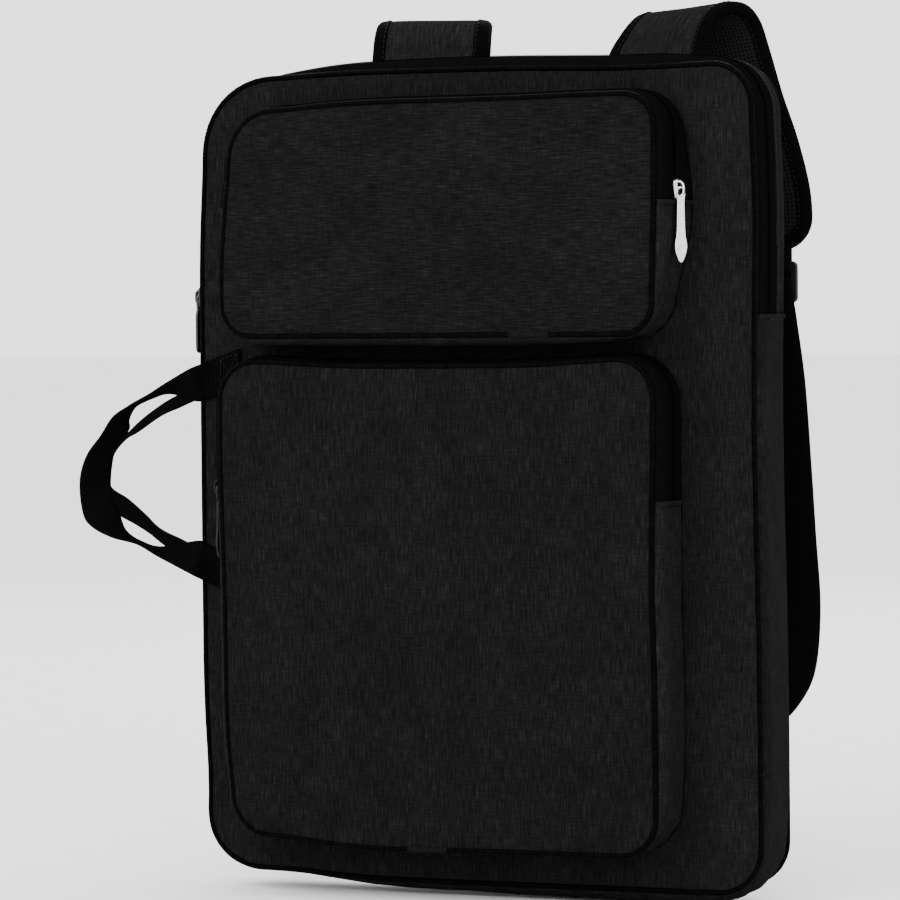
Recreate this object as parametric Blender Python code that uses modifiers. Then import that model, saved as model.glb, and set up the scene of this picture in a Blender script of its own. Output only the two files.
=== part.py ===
"""Art portfolio case worn as a backpack: a tall zipped fabric case with two zipped
front pockets, a pair of side carry handles and two padded shoulder straps.

Units are metres. +X is to the right seen from the front, -Y is the front, +Z is up.
The origin is the centre of the flat bottom. Run in Blender 4.5.
"""
import math

import bmesh
import bpy
from mathutils import Vector

# Main case
CASE_HALF_WIDTH = 0.176
CASE_SEAM_BOTTOM = 0.009
CASE_SEAM_TOP = 0.489
CASE_HALF_DEPTH = 0.0245
CASE_RADII = (0.046, 0.026, 0.026, 0.048)
CASE_BULGE = 0.009
CASE_BULGE_REACH = 0.010
GUSSET_SIDE_INSET = 0.005
GUSSET_TOP_INSET = 0.004
MAIN_ZIP_END = 0.344
MAIN_ZIP_FREE = 0.3630
MAIN_CLOSURE_Y = -0.0115
MAIN_TAPE_BACK_Y = 0.002
MAIN_HINGE_Z = 0.320
MAIN_HINGE_Y = -0.0265

# Pockets: seam outline of each face, seen from the front
POCKET_FACE_Y = -0.0595
POCKET_CLOSURE_Y = -0.042
POCKET_BULGE = 0.006
POCKET_BULGE_REACH = 0.012
POCKET_TOP_INSET = 0.003
POCKET_HINGE_Y = -0.0615
UPPER_POCKET = {
    "left": -0.146, "right": 0.1255, "bottom": 0.333, "top": 0.4695,
    "radii": (0.018, 0.018, 0.018, 0.032), "zip_end": 0.410, "hinge": 0.4222,
}
LOWER_POCKET = {
    "left": -0.1465, "right": 0.124, "bottom": 0.0325, "top": 0.315,
    "radii": (0.024, 0.022, 0.022, 0.022), "zip_end": 0.237, "hinge": 0.2492,
}

# Sheet thicknesses and clearances
GAP = 0.0003
PANEL_THICKNESS = 0.002
FOAM_THICKNESS = 0.004
FOAM_MARGIN = 0.007
FACE_THICKNESS = 0.003
WALL_THICKNESS = 0.0014
PIPING_RADIUS = 0.0017
PIPING_MARGIN = PIPING_RADIUS + GAP

# Zips
COIL_WIDTH = 0.0021
COIL_HEIGHT = 0.0012
SLIDER_LENGTH = 0.0115
SLIDER_WIDTH = 0.008
SLIDER_PLATE = 0.0013
SLIDER_LIP = 0.0011
EYE_OPENING = 0.0027
EYE_WALL = 0.0011
EYE_WIDTH = 0.0024
PULLER_THICKNESS = 0.0016
PULLER_NECK = 0.0052
PULLER_TIP = 0.0076
PULLER_WINDOW_DEPTH = 0.0062
PULLER_WINDOW_CLEARANCE = 0.0004
PULLER_SHOULDER = 0.003
PULLER_WAIST = 0.9
MAIN_PULLER_LENGTH = 0.034
POCKET_PULLER_LENGTH = 0.042
EYE_SUNK = 0.0005
COIL_ROUNDING = 0.0003
CUTTER_OVERRUN = 0.002
CUTTER_MARGIN = 0.05

# Webbing handles, on the left side
HANDLE_WIDTH = 0.0235
HANDLE_THICKNESS = 0.0015
HANDLE_HINGE_X = -0.1790
HANDLE_PLANE_Y = -0.0277
HANDLE_END_INNER_X = -0.1535
HANDLE_FOLD_X = (-0.1680, -0.1735)
HANDLE_END_OUTER_X = -0.1787
HANDLE_END_HEIGHTS = (0.3055, 0.1990)
# Centre line (x, y, z) and outer-edge direction of the front loop, from top to bottom
HANDLE_ROUTE = (
    ((-0.1800, -0.0277, 0.3055), (0.0, 0.0, 1.0)),
    ((-0.1990, -0.0275, 0.3010), (0.15, -0.80, 0.60)),
    ((-0.2190, -0.0260, 0.2935), (0.15, -0.98, 0.15)),
    ((-0.2330, -0.0220, 0.2835), (0.10, -1.0, 0.05)),
    ((-0.2455, -0.0165, 0.2700), (0.0, -1.0, 0.0)),
    ((-0.2560, -0.0125, 0.2490), (0.0, -1.0, 0.0)),
    ((-0.2575, -0.0122, 0.2325), (0.0, -1.0, 0.0)),
    ((-0.2500, -0.0150, 0.2185), (0.0, -1.0, 0.0)),
    ((-0.2340, -0.0220, 0.2125), (0.05, -1.0, -0.05)),
    ((-0.2150, -0.0260, 0.2085), (0.10, -0.98, -0.20)),
    ((-0.1980, -0.0275, 0.2035), (0.15, -0.75, -0.65)),
    ((-0.1800, -0.0277, 0.1990), (0.0, 0.0, -1.0)),
)
HANDLE_SWING_Z = 0.2480

# Shoulder straps
PAD_HALF_WIDTH = 0.0315
PAD_THICKNESS = 0.008
PAD_END_RADIUS = 0.018
BINDING_DEPTH = 0.010
BINDING_THICKNESS = 0.0012
BINDING_GAP = 0.0014
STRAP_WEBBING_WIDTH = 0.025
STRAP_WEBBING_THICKNESS = 0.0015
LOCK_WIDTH = 0.036
LOCK_THICKNESS = 0.003
LOCK_SLOT_WIDTH = 0.028
LOCK_SLOT_HEIGHT = 0.006
LOCK_END_BAR = 0.0045
LOCK_MIDDLE_BAR = 0.004
LOCK_DROP = 0.0195
LOCK_PASS = 0.0029
LOCK_CORNER = 0.002
LOCK_SLOT_CORNER = 0.0005
LOCK_APPROACH = 0.018
LOOP_CLEARANCE = 0.0008
WRAP_CLEARANCE = 0.0012
# Loose end below the ladder lock: (behind it, below its middle)
WEBBING_TAIL = ((0.0, 0.012), (0.006, 0.035), (0.022, 0.075))
ANCHOR_SIZE = (0.030, 0.0016, 0.028)
STRAPS = {
    "right": {
        "sewn": (
            ((0.0950, 0.0298, 0.452), (1.0, 0.0, 0.0)),
            ((0.0985, 0.0310, 0.484), (1.0, 0.0, 0.0)),
            ((0.1045, 0.0352, 0.5035), (0.98, 0.14, -0.03)),
        ),
        "pad": (
            ((0.1068, 0.0378, 0.5092), (0.97, 0.20, -0.05)),
            ((0.1115, 0.0470, 0.5170), (0.93, 0.34, 0.04)),
            ((0.1155, 0.0600, 0.5190), (0.93, 0.34, 0.10)),
            ((0.1195, 0.0705, 0.5050), (0.95, 0.24, 0.16)),
            ((0.1280, 0.0760, 0.4650), (0.97, 0.12, 0.17)),
            ((0.1365, 0.0790, 0.4220), (0.99, 0.0, 0.10)),
            ((0.1395, 0.0805, 0.3820), (1.0, 0.0, 0.0)),
        ),
        "run": (
            (0.1550, 0.0332, 0.1044), (0.1560, 0.0500, 0.1090), (0.1585, 0.0830, 0.1280),
            (0.1590, 0.1040, 0.1650), (0.1575, 0.1080, 0.2100), (0.1535, 0.1020, 0.2600),
            (0.1465, 0.0900, 0.3050),
        ),
        "anchor": (0.155, 0.0270, 0.098),
        "sewn_point": (0.1067, 0.0373, 0.508),
    },
    "left": {
        "sewn": (
            ((-0.0565, 0.0298, 0.452), (1.0, 0.0, 0.0)),
            ((-0.0565, 0.0310, 0.484), (1.0, 0.0, 0.0)),
            ((-0.0565, 0.0352, 0.5035), (1.0, 0.0, 0.0)),
        ),
        "pad": (
            ((-0.0565, 0.0368, 0.5092), (1.0, 0.0, 0.0)),
            ((-0.0565, 0.0460, 0.5175), (1.0, 0.0, 0.0)),
            ((-0.0565, 0.0600, 0.5160), (1.0, 0.0, 0.0)),
            ((-0.0575, 0.0700, 0.4990), (1.0, 0.0, 0.0)),
            ((-0.0625, 0.0765, 0.4600), (1.0, 0.0, 0.0)),
            ((-0.0690, 0.0805, 0.4200), (1.0, 0.0, 0.0)),
            ((-0.0700, 0.0825, 0.3820), (1.0, 0.0, 0.0)),
        ),
        "run": (
            (-0.1450, 0.0332, 0.1044), (-0.1450, 0.0500, 0.1090), (-0.1440, 0.0810, 0.1280),
            (-0.1370, 0.1010, 0.1650), (-0.1220, 0.1050, 0.2100), (-0.1000, 0.1010, 0.2600),
            (-0.0800, 0.0925, 0.3050),
        ),
        "anchor": (-0.145, 0.0270, 0.098),
        "sewn_point": (-0.0565, 0.0364, 0.508),
    },
}

# Pieces that move together
MAIN_FLAP_PARTS = (
    "front_panel_upper", "front_foam_upper", "front_piping_upper", "main_zip_tape_front",
    "main_zip_coil_front", "upper_pocket_gusset", "upper_pocket_zip_tape_rear",
    "upper_pocket_zip_coil_rear", "upper_pocket_face_lower", "upper_pocket_piping_lower",
)
POCKET_FLAP_PARTS = ("face_upper", "piping_upper", "zip_tape_front", "zip_coil_front")
STRAP_SWING_PARTS = ("pad", "binding", "lock_loop", "ladder_lock", "webbing")

CORNER_STEPS = 6
HEATHER = (0.014, 0.014, 0.014)
BLACK = (0.006, 0.006, 0.006)
FOAM_GREY = (0.20, 0.20, 0.20)
GUNMETAL = (0.10, 0.10, 0.105)
SILVER = (0.72, 0.72, 0.73)


def clear_scene():
    """Remove every object so that the model starts from nothing."""
    for item in list(bpy.data.objects):
        bpy.data.objects.remove(item)


def new_collection(name):
    """Make a collection and link it to the scene."""
    collection = bpy.data.collections.new(name)
    bpy.context.scene.collection.children.link(collection)
    return collection


def finish_for(name, colour, roughness, metallic=0.0):
    """Make one sub-part's material."""
    material = bpy.data.materials.new(name + "_finish")
    material.use_nodes = True
    shader = material.node_tree.nodes["Principled BSDF"]
    shader.inputs["Base Color"].default_value = (*colour, 1.0)
    shader.inputs["Roughness"].default_value = roughness
    shader.inputs["Metallic"].default_value = metallic
    return material


def heather(name):
    return finish_for(name, HEATHER, 0.9)


def black_fabric(name):
    return finish_for(name, BLACK, 0.75)


def add_part(name, data, material):
    """Put a mesh or curve into the model's collection with its own material."""
    part = bpy.data.objects.new(name, data)
    PARTS.objects.link(part)
    data.materials.append(material)
    return part


def corner(centre_x, centre_z, radius, start_degrees):
    """Quarter of a circle, counter-clockwise, from the start angle."""
    if radius == 0.0:
        return [(centre_x, centre_z)]
    angles = [math.radians(start_degrees + 90.0 * step / CORNER_STEPS)
              for step in range(CORNER_STEPS + 1)]
    return [(centre_x + radius * math.cos(a), centre_z + radius * math.sin(a)) for a in angles]


def lower_run(left, right, bottom, end, radius_left, radius_right):
    """Open outline: down the left side, along the bottom and up the right side."""
    return ([(left, end)]
            + corner(left + radius_left, bottom + radius_left, radius_left, 180.0)
            + corner(right - radius_right, bottom + radius_right, radius_right, 270.0)
            + [(right, end)])


def upper_run(left, right, top, end, radius_left, radius_right):
    """Open outline: up the right side, along the top and down the left side."""
    return ([(right, end)]
            + corner(right - radius_right, top - radius_right, radius_right, 0.0)
            + corner(left + radius_left, top - radius_left, radius_left, 90.0)
            + [(left, end)])


def rounded_outline(left, right, bottom, top, radii):
    """Closed outline; radii run bottom left, bottom right, top right, top left."""
    low_left, low_right, high_right, high_left = radii
    return (corner(left + low_left, bottom + low_left, low_left, 180.0)
            + corner(right - low_right, bottom + low_right, low_right, 270.0)
            + corner(right - high_right, top - high_right, high_right, 0.0)
            + corner(left + high_left, top - high_left, high_left, 90.0))


def shrink(outline_radii, margin):
    """Corner radii of an outline moved inwards by the margin."""
    return tuple(max(radius - margin, 0.0) for radius in outline_radii)


def add_spline(curve, points, closed):
    """Add a straight-segment spline through (x, y) points."""
    spline = curve.splines.new("POLY")
    spline.points.add(len(points) - 1)
    for target, point in zip(spline.points, points):
        target.co = (point[0], point[1], 0.0, 1.0)
    spline.use_cyclic_u = closed


def flat_sheet(name, outlines, y_front, y_back, material):
    """Flat sheet parallel to the front, cut to an outline; later outlines are holes."""
    curve = bpy.data.curves.new(name, "CURVE")
    curve.dimensions = "2D"
    curve.fill_mode = "BOTH"
    for outline in outlines:
        add_spline(curve, outline, True)
    curve.extrude = (y_back - y_front) / 2.0
    part = add_part(name, curve, material)
    part.location = (0.0, (y_front + y_back) / 2.0, 0.0)
    part.rotation_euler = (math.radians(90.0), 0.0, 0.0)
    return part


def add_guide(name, points):
    """Closed cross-section that a wall is swept with."""
    curve = bpy.data.curves.new(name, "CURVE")
    curve.dimensions = "2D"
    curve.fill_mode = "NONE"
    add_spline(curve, points, True)
    guide = bpy.data.objects.new(name, curve)
    CUTTERS.objects.link(guide)
    guide.hide_render = True
    guide.display_type = "WIRE"
    return guide


def swept_wall(name, path, section, material):
    """Wall that follows an open outline; section points are (outwards, forwards)."""
    curve = bpy.data.curves.new(name, "CURVE")
    curve.dimensions = "2D"
    curve.fill_mode = "NONE"
    add_spline(curve, path, False)
    curve.bevel_mode = "OBJECT"
    curve.bevel_object = add_guide(name + "_section", section)
    curve.use_fill_caps = True
    part = add_part(name, curve, material)
    part.rotation_euler = (math.radians(90.0), 0.0, 0.0)
    return part


def as_mesh(part):
    """Replace a curve object with a welded mesh object of the same name and place."""
    name = part.name
    evaluated = part.evaluated_get(bpy.context.evaluated_depsgraph_get())
    mesh = bpy.data.meshes.new_from_object(evaluated)
    shell = bmesh.new()
    shell.from_mesh(mesh)
    bmesh.ops.remove_doubles(shell, verts=shell.verts, dist=0.00001)
    shell.to_mesh(mesh)
    shell.free()
    place = part.matrix_world.copy()
    bpy.data.objects.remove(part)
    solid = bpy.data.objects.new(name, mesh)
    PARTS.objects.link(solid)
    solid.matrix_world = place
    return solid


def add_box(name, low, high):
    """Box cutter between two corners."""
    mesh = bpy.data.meshes.new(name)
    shell = bmesh.new()
    bmesh.ops.create_cube(shell, size=1.0)
    centre = (Vector(low) + Vector(high)) / 2.0
    size = Vector(high) - Vector(low)
    for vert in shell.verts:
        vert.co = Vector((vert.co.x * size.x, vert.co.y * size.y, vert.co.z * size.z)) + centre
    shell.to_mesh(mesh)
    shell.free()
    box = bpy.data.objects.new(name, mesh)
    CUTTERS.objects.link(box)
    box.hide_render = True
    box.display_type = "WIRE"
    return box


def boolean(part, cutter, operation):
    """Cut a part with a cutter, or join the cutter to it."""
    modifier = part.modifiers.new(cutter.name, "BOOLEAN")
    modifier.operation = operation
    modifier.object = cutter


def bulge_at(distance, bulge, reach):
    """How far a stuffed wall stands out at a distance behind its seam."""
    if distance >= reach:
        return bulge
    return bulge * math.sqrt(1.0 - (1.0 - distance / reach) ** 2)


def case_bulge(y):
    return bulge_at(CASE_HALF_DEPTH - abs(y), CASE_BULGE, CASE_BULGE_REACH)


def pocket_bulge(y):
    return bulge_at(y - POCKET_FACE_Y, POCKET_BULGE, POCKET_BULGE_REACH)


def wall_section(bulge, y_front, y_back, steps=5):
    """Cross-section of a thin bulging wall between two depths."""
    depths = [y_front + (y_back - y_front) * step / steps for step in range(steps + 1)]
    outer = [(bulge(y), -y) for y in depths]
    inner = [(bulge(y) - WALL_THICKNESS, -y) for y in reversed(depths)]
    return outer + inner


def coil_section(bulge, y_front, y_back):
    """Cross-section of one row of zip coil lying on its tape."""
    base = bulge(y_front) + GAP
    return [(base, -y_front), (base + COIL_HEIGHT, -y_front - COIL_ROUNDING),
            (base + COIL_HEIGHT, -y_back), (base, -y_back)]


def piping(name, path, y, material, closed=False):
    """Cord-filled piping along an outline."""
    curve = bpy.data.curves.new(name, "CURVE")
    curve.dimensions = "2D"
    curve.fill_mode = "NONE"
    add_spline(curve, path, closed)
    curve.bevel_depth = PIPING_RADIUS
    curve.bevel_resolution = 2
    curve.use_fill_caps = not closed
    part = add_part(name, curve, material)
    part.location = (0.0, y, 0.0)
    part.rotation_euler = (math.radians(90.0), 0.0, 0.0)
    return part


def add_case():
    """Back and front of the case, with the padding behind each."""
    left = -CASE_HALF_WIDTH + PIPING_MARGIN
    right = CASE_HALF_WIDTH - PIPING_MARGIN
    bottom = CASE_SEAM_BOTTOM + PIPING_MARGIN
    top = CASE_SEAM_TOP - PIPING_MARGIN
    radii = shrink(CASE_RADII, PIPING_MARGIN)
    outer_y = CASE_HALF_DEPTH + GAP * 2.0
    inner_y = outer_y - PANEL_THICKNESS
    low_end = MAIN_HINGE_Z - GAP / 2.0
    high_end = MAIN_HINGE_Z + GAP / 2.0
    low_radii = (radii[0], radii[1], 0.0, 0.0)
    high_radii = (0.0, 0.0, radii[2], radii[3])
    flat_sheet("back_panel", [rounded_outline(left, right, bottom, top, radii)],
               inner_y, outer_y, black_fabric("back_panel"))
    flat_sheet("front_panel_lower", [rounded_outline(left, right, bottom, low_end, low_radii)],
               -outer_y, -inner_y, heather("front_panel_lower"))
    flat_sheet("front_panel_upper", [rounded_outline(left, right, high_end, top, high_radii)],
               -outer_y, -inner_y, heather("front_panel_upper"))
    margin = FOAM_MARGIN
    foam_out = inner_y - GAP
    foam_in = foam_out - FOAM_THICKNESS
    foam_radii = shrink(radii, margin)
    left += margin
    right -= margin
    bottom += margin
    top -= margin
    low_radii = (foam_radii[0], foam_radii[1], 0.0, 0.0)
    high_radii = (0.0, 0.0, foam_radii[2], foam_radii[3])
    flat_sheet("back_foam", [rounded_outline(left, right, bottom, top, foam_radii)],
               foam_in, foam_out, finish_for("back_foam", FOAM_GREY, 0.95))
    flat_sheet("front_foam_lower",
               [rounded_outline(left, right, bottom, low_end - margin, low_radii)],
               -foam_out, -foam_in, finish_for("front_foam_lower", FOAM_GREY, 0.95))
    flat_sheet("front_foam_upper",
               [rounded_outline(left, right, high_end + margin, top, high_radii)],
               -foam_out, -foam_in, finish_for("front_foam_upper", FOAM_GREY, 0.95))


def add_case_walls():
    """Side walls of the case, its zip tapes and its two lines of piping."""
    low_left, low_right, high_right, high_left = CASE_RADII
    left = -CASE_HALF_WIDTH + GUSSET_SIDE_INSET
    right = CASE_HALF_WIDTH - GUSSET_SIDE_INSET
    edge_y = CASE_HALF_DEPTH - PIPING_MARGIN
    closed_end = MAIN_ZIP_END + GAP / 2.0
    free_end = MAIN_ZIP_FREE + GAP / 2.0
    top = CASE_SEAM_TOP - GUSSET_TOP_INSET
    low = lower_run(left, right, CASE_SEAM_BOTTOM, MAIN_ZIP_END - GAP / 2.0, low_left, low_right)
    high = upper_run(left, right, top, closed_end, high_left, high_right)
    free = upper_run(left, right, top, free_end, high_left, high_right)
    swept_wall("gusset_lower", low, wall_section(case_bulge, -edge_y, edge_y, 10),
               heather("gusset_lower"))
    swept_wall("gusset_rear_strip", high,
               wall_section(case_bulge, MAIN_TAPE_BACK_Y + GAP, edge_y), heather("gusset_rear_strip"))
    add_zip("main", high, free, case_bulge, (-edge_y, MAIN_CLOSURE_Y, MAIN_TAPE_BACK_Y),
            MAIN_ZIP_FREE, CASE_HALF_WIDTH)
    seam_left = -CASE_HALF_WIDTH
    seam_right = CASE_HALF_WIDTH
    piping("front_piping_lower",
           lower_run(seam_left, seam_right, CASE_SEAM_BOTTOM, MAIN_HINGE_Z - GAP / 2.0,
                     low_left, low_right),
           -CASE_HALF_DEPTH, black_fabric("front_piping_lower"))
    piping("front_piping_upper",
           upper_run(seam_left, seam_right, CASE_SEAM_TOP, MAIN_HINGE_Z + GAP / 2.0,
                     high_left, high_right),
           -CASE_HALF_DEPTH, black_fabric("front_piping_upper"))
    back = rounded_outline(seam_left, seam_right, CASE_SEAM_BOTTOM, CASE_SEAM_TOP, CASE_RADII)
    piping("back_piping", back, CASE_HALF_DEPTH, black_fabric("back_piping"), closed=True)


def add_zip(prefix, closed_path, free_path, bulge, depths, free_z, half_width):
    """Two zip tapes with their coils; below free_z both stay on the fixed side."""
    front_y, closure_y, back_y = depths
    flap = add_box(prefix + "_flap_side",
                   (-half_width - CUTTER_MARGIN, front_y - CUTTER_MARGIN, free_z - GAP / 2.0),
                   (half_width + CUTTER_MARGIN, closure_y + GAP / 2.0,
                    CASE_SEAM_TOP + CUTTER_MARGIN))
    rear = as_mesh(swept_wall(prefix + "_zip_tape_rear", closed_path,
                              wall_section(bulge, front_y, back_y, 8),
                              black_fabric(prefix + "_zip_tape_rear")))
    boolean(rear, flap, "DIFFERENCE")
    swept_wall(prefix + "_zip_tape_front", free_path,
               wall_section(bulge, front_y, closure_y - GAP / 2.0),
               black_fabric(prefix + "_zip_tape_front"))
    coil = as_mesh(swept_wall(prefix + "_zip_coil_rear", closed_path,
                              coil_section(bulge, closure_y - COIL_WIDTH, closure_y + COIL_WIDTH),
                              black_fabric(prefix + "_zip_coil_rear")))
    boolean(coil, flap, "DIFFERENCE")
    swept_wall(prefix + "_zip_coil_front", free_path,
               coil_section(bulge, closure_y - COIL_WIDTH, closure_y - GAP / 2.0),
               black_fabric(prefix + "_zip_coil_front"))


def add_pocket(prefix, pocket):
    """One zipped front pocket: face in two parts, walls, zip and piping."""
    left = pocket["left"]
    right = pocket["right"]
    bottom = pocket["bottom"]
    top = pocket["top"]
    radii = pocket["radii"]
    low_left, low_right, high_right, high_left = radii
    hinge = pocket["hinge"]
    front_y = POCKET_FACE_Y + PIPING_MARGIN
    base_y = -CASE_HALF_DEPTH - 3.0 * GAP
    face_radii = shrink(radii, PIPING_MARGIN)
    low_face = rounded_outline(left + PIPING_MARGIN, right - PIPING_MARGIN,
                               bottom + PIPING_MARGIN, hinge - GAP / 2.0,
                               (face_radii[0], face_radii[1], 0.0, 0.0))
    high_face = rounded_outline(left + PIPING_MARGIN, right - PIPING_MARGIN,
                                hinge + GAP / 2.0, top - PIPING_MARGIN,
                                (0.0, 0.0, face_radii[2], face_radii[3]))
    face_front = POCKET_FACE_Y - PIPING_RADIUS
    flat_sheet(prefix + "_face_lower", [low_face], face_front, face_front + FACE_THICKNESS,
               heather(prefix + "_face_lower"))
    flat_sheet(prefix + "_face_upper", [high_face], face_front, face_front + FACE_THICKNESS,
               heather(prefix + "_face_upper"))
    zip_end = pocket["zip_end"]
    swept_wall(prefix + "_gusset",
               lower_run(left, right, bottom, zip_end - GAP / 2.0, low_left, low_right),
               wall_section(pocket_bulge, front_y, base_y, 8), heather(prefix + "_gusset"))
    zip_top = top - POCKET_TOP_INSET
    add_zip(prefix,
            upper_run(left, right, zip_top, zip_end + GAP / 2.0, high_left, high_right),
            upper_run(left, right, zip_top, hinge + GAP / 2.0, high_left, high_right),
            pocket_bulge, (front_y, POCKET_CLOSURE_Y, base_y), hinge, CASE_HALF_WIDTH)
    piping(prefix + "_piping_lower",
           lower_run(left, right, bottom, hinge - GAP / 2.0, low_left, low_right),
           POCKET_FACE_Y, black_fabric(prefix + "_piping_lower"))
    piping(prefix + "_piping_upper",
           upper_run(left, right, top, hinge + GAP / 2.0, high_left, high_right),
           POCKET_FACE_Y, black_fabric(prefix + "_piping_upper"))


def add_slider(prefix, side, wall_x, closure_y, bottom_z, material):
    """Zip slider: a channel over the coil with an eye for its puller.

    side is +1 on the right wall and -1 on the left; wall_x is the tape's surface.
    """
    lip_base = wall_x + side * GAP
    plate_base = wall_x + side * (2.0 * GAP + COIL_HEIGHT)
    plate_top = plate_base + side * SLIDER_PLATE
    half = SLIDER_WIDTH / 2.0
    top_z = bottom_z + SLIDER_LENGTH
    body = add_block(prefix + "_slider", (lip_base, closure_y - half, bottom_z),
                     (plate_top, closure_y + half, top_z), material)
    channel_half = half - SLIDER_LIP
    below_lip = lip_base - side * CUTTER_OVERRUN
    channel = add_box(prefix + "_slider_channel",
                      (min(below_lip, plate_base), closure_y - channel_half,
                       bottom_z - CUTTER_OVERRUN),
                      (max(below_lip, plate_base), closure_y + channel_half,
                       top_z + CUTTER_OVERRUN))
    boolean(body, channel, "DIFFERENCE")
    eye_height = EYE_OPENING + EYE_WALL
    eye_low = bottom_z + SLIDER_LENGTH / 2.0 - EYE_OPENING / 2.0 - EYE_WALL
    eye_high = eye_low + EYE_OPENING + 2.0 * EYE_WALL
    eye_out = plate_top + side * eye_height
    sunk = plate_top - side * EYE_SUNK
    eye = add_box(prefix + "_slider_eye",
                  (min(sunk, eye_out), closure_y - EYE_WIDTH / 2.0, eye_low),
                  (max(sunk, eye_out), closure_y + EYE_WIDTH / 2.0, eye_high))
    boolean(body, eye, "UNION")
    hole_out = plate_top + side * EYE_OPENING
    hole = add_box(prefix + "_slider_hole",
                   (min(plate_top, hole_out), closure_y - EYE_WIDTH, eye_low + EYE_WALL),
                   (max(plate_top, hole_out), closure_y + EYE_WIDTH, eye_high - EYE_WALL))
    boolean(body, hole, "DIFFERENCE")
    axis_x = plate_top + side * EYE_OPENING / 2.0
    axis_z = bottom_z + SLIDER_LENGTH / 2.0
    return axis_x, axis_z


def add_block(name, corner_a, corner_b, material):
    """Solid box between two corners."""
    low = [min(a, b) for a, b in zip(corner_a, corner_b)]
    high = [max(a, b) for a, b in zip(corner_a, corner_b)]
    mesh = bpy.data.meshes.new(name)
    shell = bmesh.new()
    bmesh.ops.create_cube(shell, size=1.0)
    centre = (Vector(low) + Vector(high)) / 2.0
    for vert in shell.verts:
        offset = [vert.co[i] * (high[i] - low[i]) for i in range(3)]
        vert.co = Vector(offset) + centre
    shell.to_mesh(mesh)
    shell.free()
    return add_part(name, mesh, material)


def add_puller(prefix, side, axis_x, closure_y, axis_z, length, material):
    """Zip puller hanging from the slider's eye: a tapered tab with a window at its top.

    Its origin is on its swing axis, the bar inside the slider's eye.
    """
    bar = PULLER_THICKNESS
    neck = PULLER_NECK / 2.0
    tip = PULLER_TIP / 2.0
    window = EYE_WIDTH / 2.0 + PULLER_WINDOW_CLEARANCE
    waist = neck * PULLER_WAIST
    waist_z = -PULLER_WINDOW_DEPTH - PULLER_SHOULDER
    tab_end = -length + tip
    outline = [(neck, bar / 2.0), (-neck, bar / 2.0), (-waist, waist_z), (-tip, tab_end)]
    outline += [(-tip * math.cos(math.radians(a)), tab_end - tip * math.sin(math.radians(a)))
                for a in range(30, 180, 30)]
    outline += [(tip, tab_end), (waist, waist_z)]
    opening = [(window, -bar / 2.0), (-window, -bar / 2.0), (-window, -PULLER_WINDOW_DEPTH),
               (window, -PULLER_WINDOW_DEPTH)]
    part = flat_sheet(prefix + "_puller", [outline, opening], -bar / 2.0, bar / 2.0, material)
    part.rotation_euler = (math.radians(90.0), 0.0, math.radians(90.0) * side)
    part.location = (axis_x, closure_y, axis_z)


def smooth_rows(rows, steps):
    """Catmull-Rom curve through rows of numbers, with its end tangents held."""
    padded = [rows[0]] + list(rows) + [rows[-1]]
    result = []
    for index in range(len(rows) - 1):
        before, start, end, after = [Vector(row) for row in padded[index:index + 4]]
        for step in range(steps):
            t = step / steps
            result.append(0.5 * (2.0 * start + (end - before) * t
                                 + (2.0 * before - 5.0 * start + 4.0 * end - after) * t ** 2
                                 + (3.0 * start - before - 3.0 * end + after) * t ** 3))
    result.append(Vector(rows[-1]))
    return result


def route_frames(route, steps):
    """Centre, across, along and distance at each row of a smooth route."""
    places = smooth_rows([place for place, across in route], steps)
    acrosses = smooth_rows([across for place, across in route], steps)
    frames = []
    distance = 0.0
    for index, place in enumerate(places):
        if index:
            distance += (place - places[index - 1]).length
        along = places[min(index + 1, len(places) - 1)] - places[max(index - 1, 0)]
        frames.append((place, acrosses[index].normalized(), along.normalized(), distance))
    return frames


def ribbon(name, rows, thickness, material):
    """Band of even thickness; each row is its two edge points."""
    shell = bmesh.new()
    bmesh.ops.create_grid(shell, x_segments=1, y_segments=len(rows) - 1, size=0.5)
    for vert in shell.verts:
        row = rows[round((vert.co.y + 0.5) * (len(rows) - 1))]
        vert.co = row[0] if vert.co.x < 0.0 else row[1]
    mesh = bpy.data.meshes.new(name)
    shell.to_mesh(mesh)
    shell.free()
    part = add_part(name, mesh, material)
    solid = part.modifiers.new("Thickness", "SOLIDIFY")
    solid.thickness = thickness
    solid.offset = 0.0
    return part


def webbing(name, route, width, thickness, material, steps=3):
    """Flat webbing of constant width along a route."""
    half = width / 2.0
    rows = [(place - across * half, place + across * half)
            for place, across, along, distance in route_frames(route, steps)]
    return ribbon(name, rows, thickness, material)


def add_handles():
    """Front and rear carry handles, each a loop between two sewn ends."""
    for name, mirror in (("front_handle", 1.0), ("rear_handle", -1.0)):
        route = [((x, y * mirror, z), (ax, ay * mirror, az)) for (x, y, z), (ax, ay, az)
                 in HANDLE_ROUTE]
        loop = webbing(name, route, HANDLE_WIDTH, HANDLE_THICKNESS, black_fabric(name))
        set_origin(loop, (HANDLE_HINGE_X, HANDLE_PLANE_Y * mirror, HANDLE_SWING_Z))
        for end, height in zip(("upper", "lower"), HANDLE_END_HEIGHTS):
            sewn_y = (CASE_HALF_DEPTH + 3.0 * GAP + HANDLE_THICKNESS / 2.0) * -mirror
            edge_y = HANDLE_PLANE_Y * mirror
            end_route = [((HANDLE_END_INNER_X, sewn_y, height), (0.0, 0.0, 1.0)),
                         ((HANDLE_FOLD_X[0], sewn_y, height), (0.0, 0.0, 1.0)),
                         ((HANDLE_FOLD_X[1], edge_y, height), (0.0, 0.0, 1.0)),
                         ((HANDLE_END_OUTER_X, edge_y, height), (0.0, 0.0, 1.0))]
            end_name = name + "_end_" + end
            webbing(end_name, end_route, HANDLE_WIDTH, HANDLE_THICKNESS, black_fabric(end_name),
                    steps=2)


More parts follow.
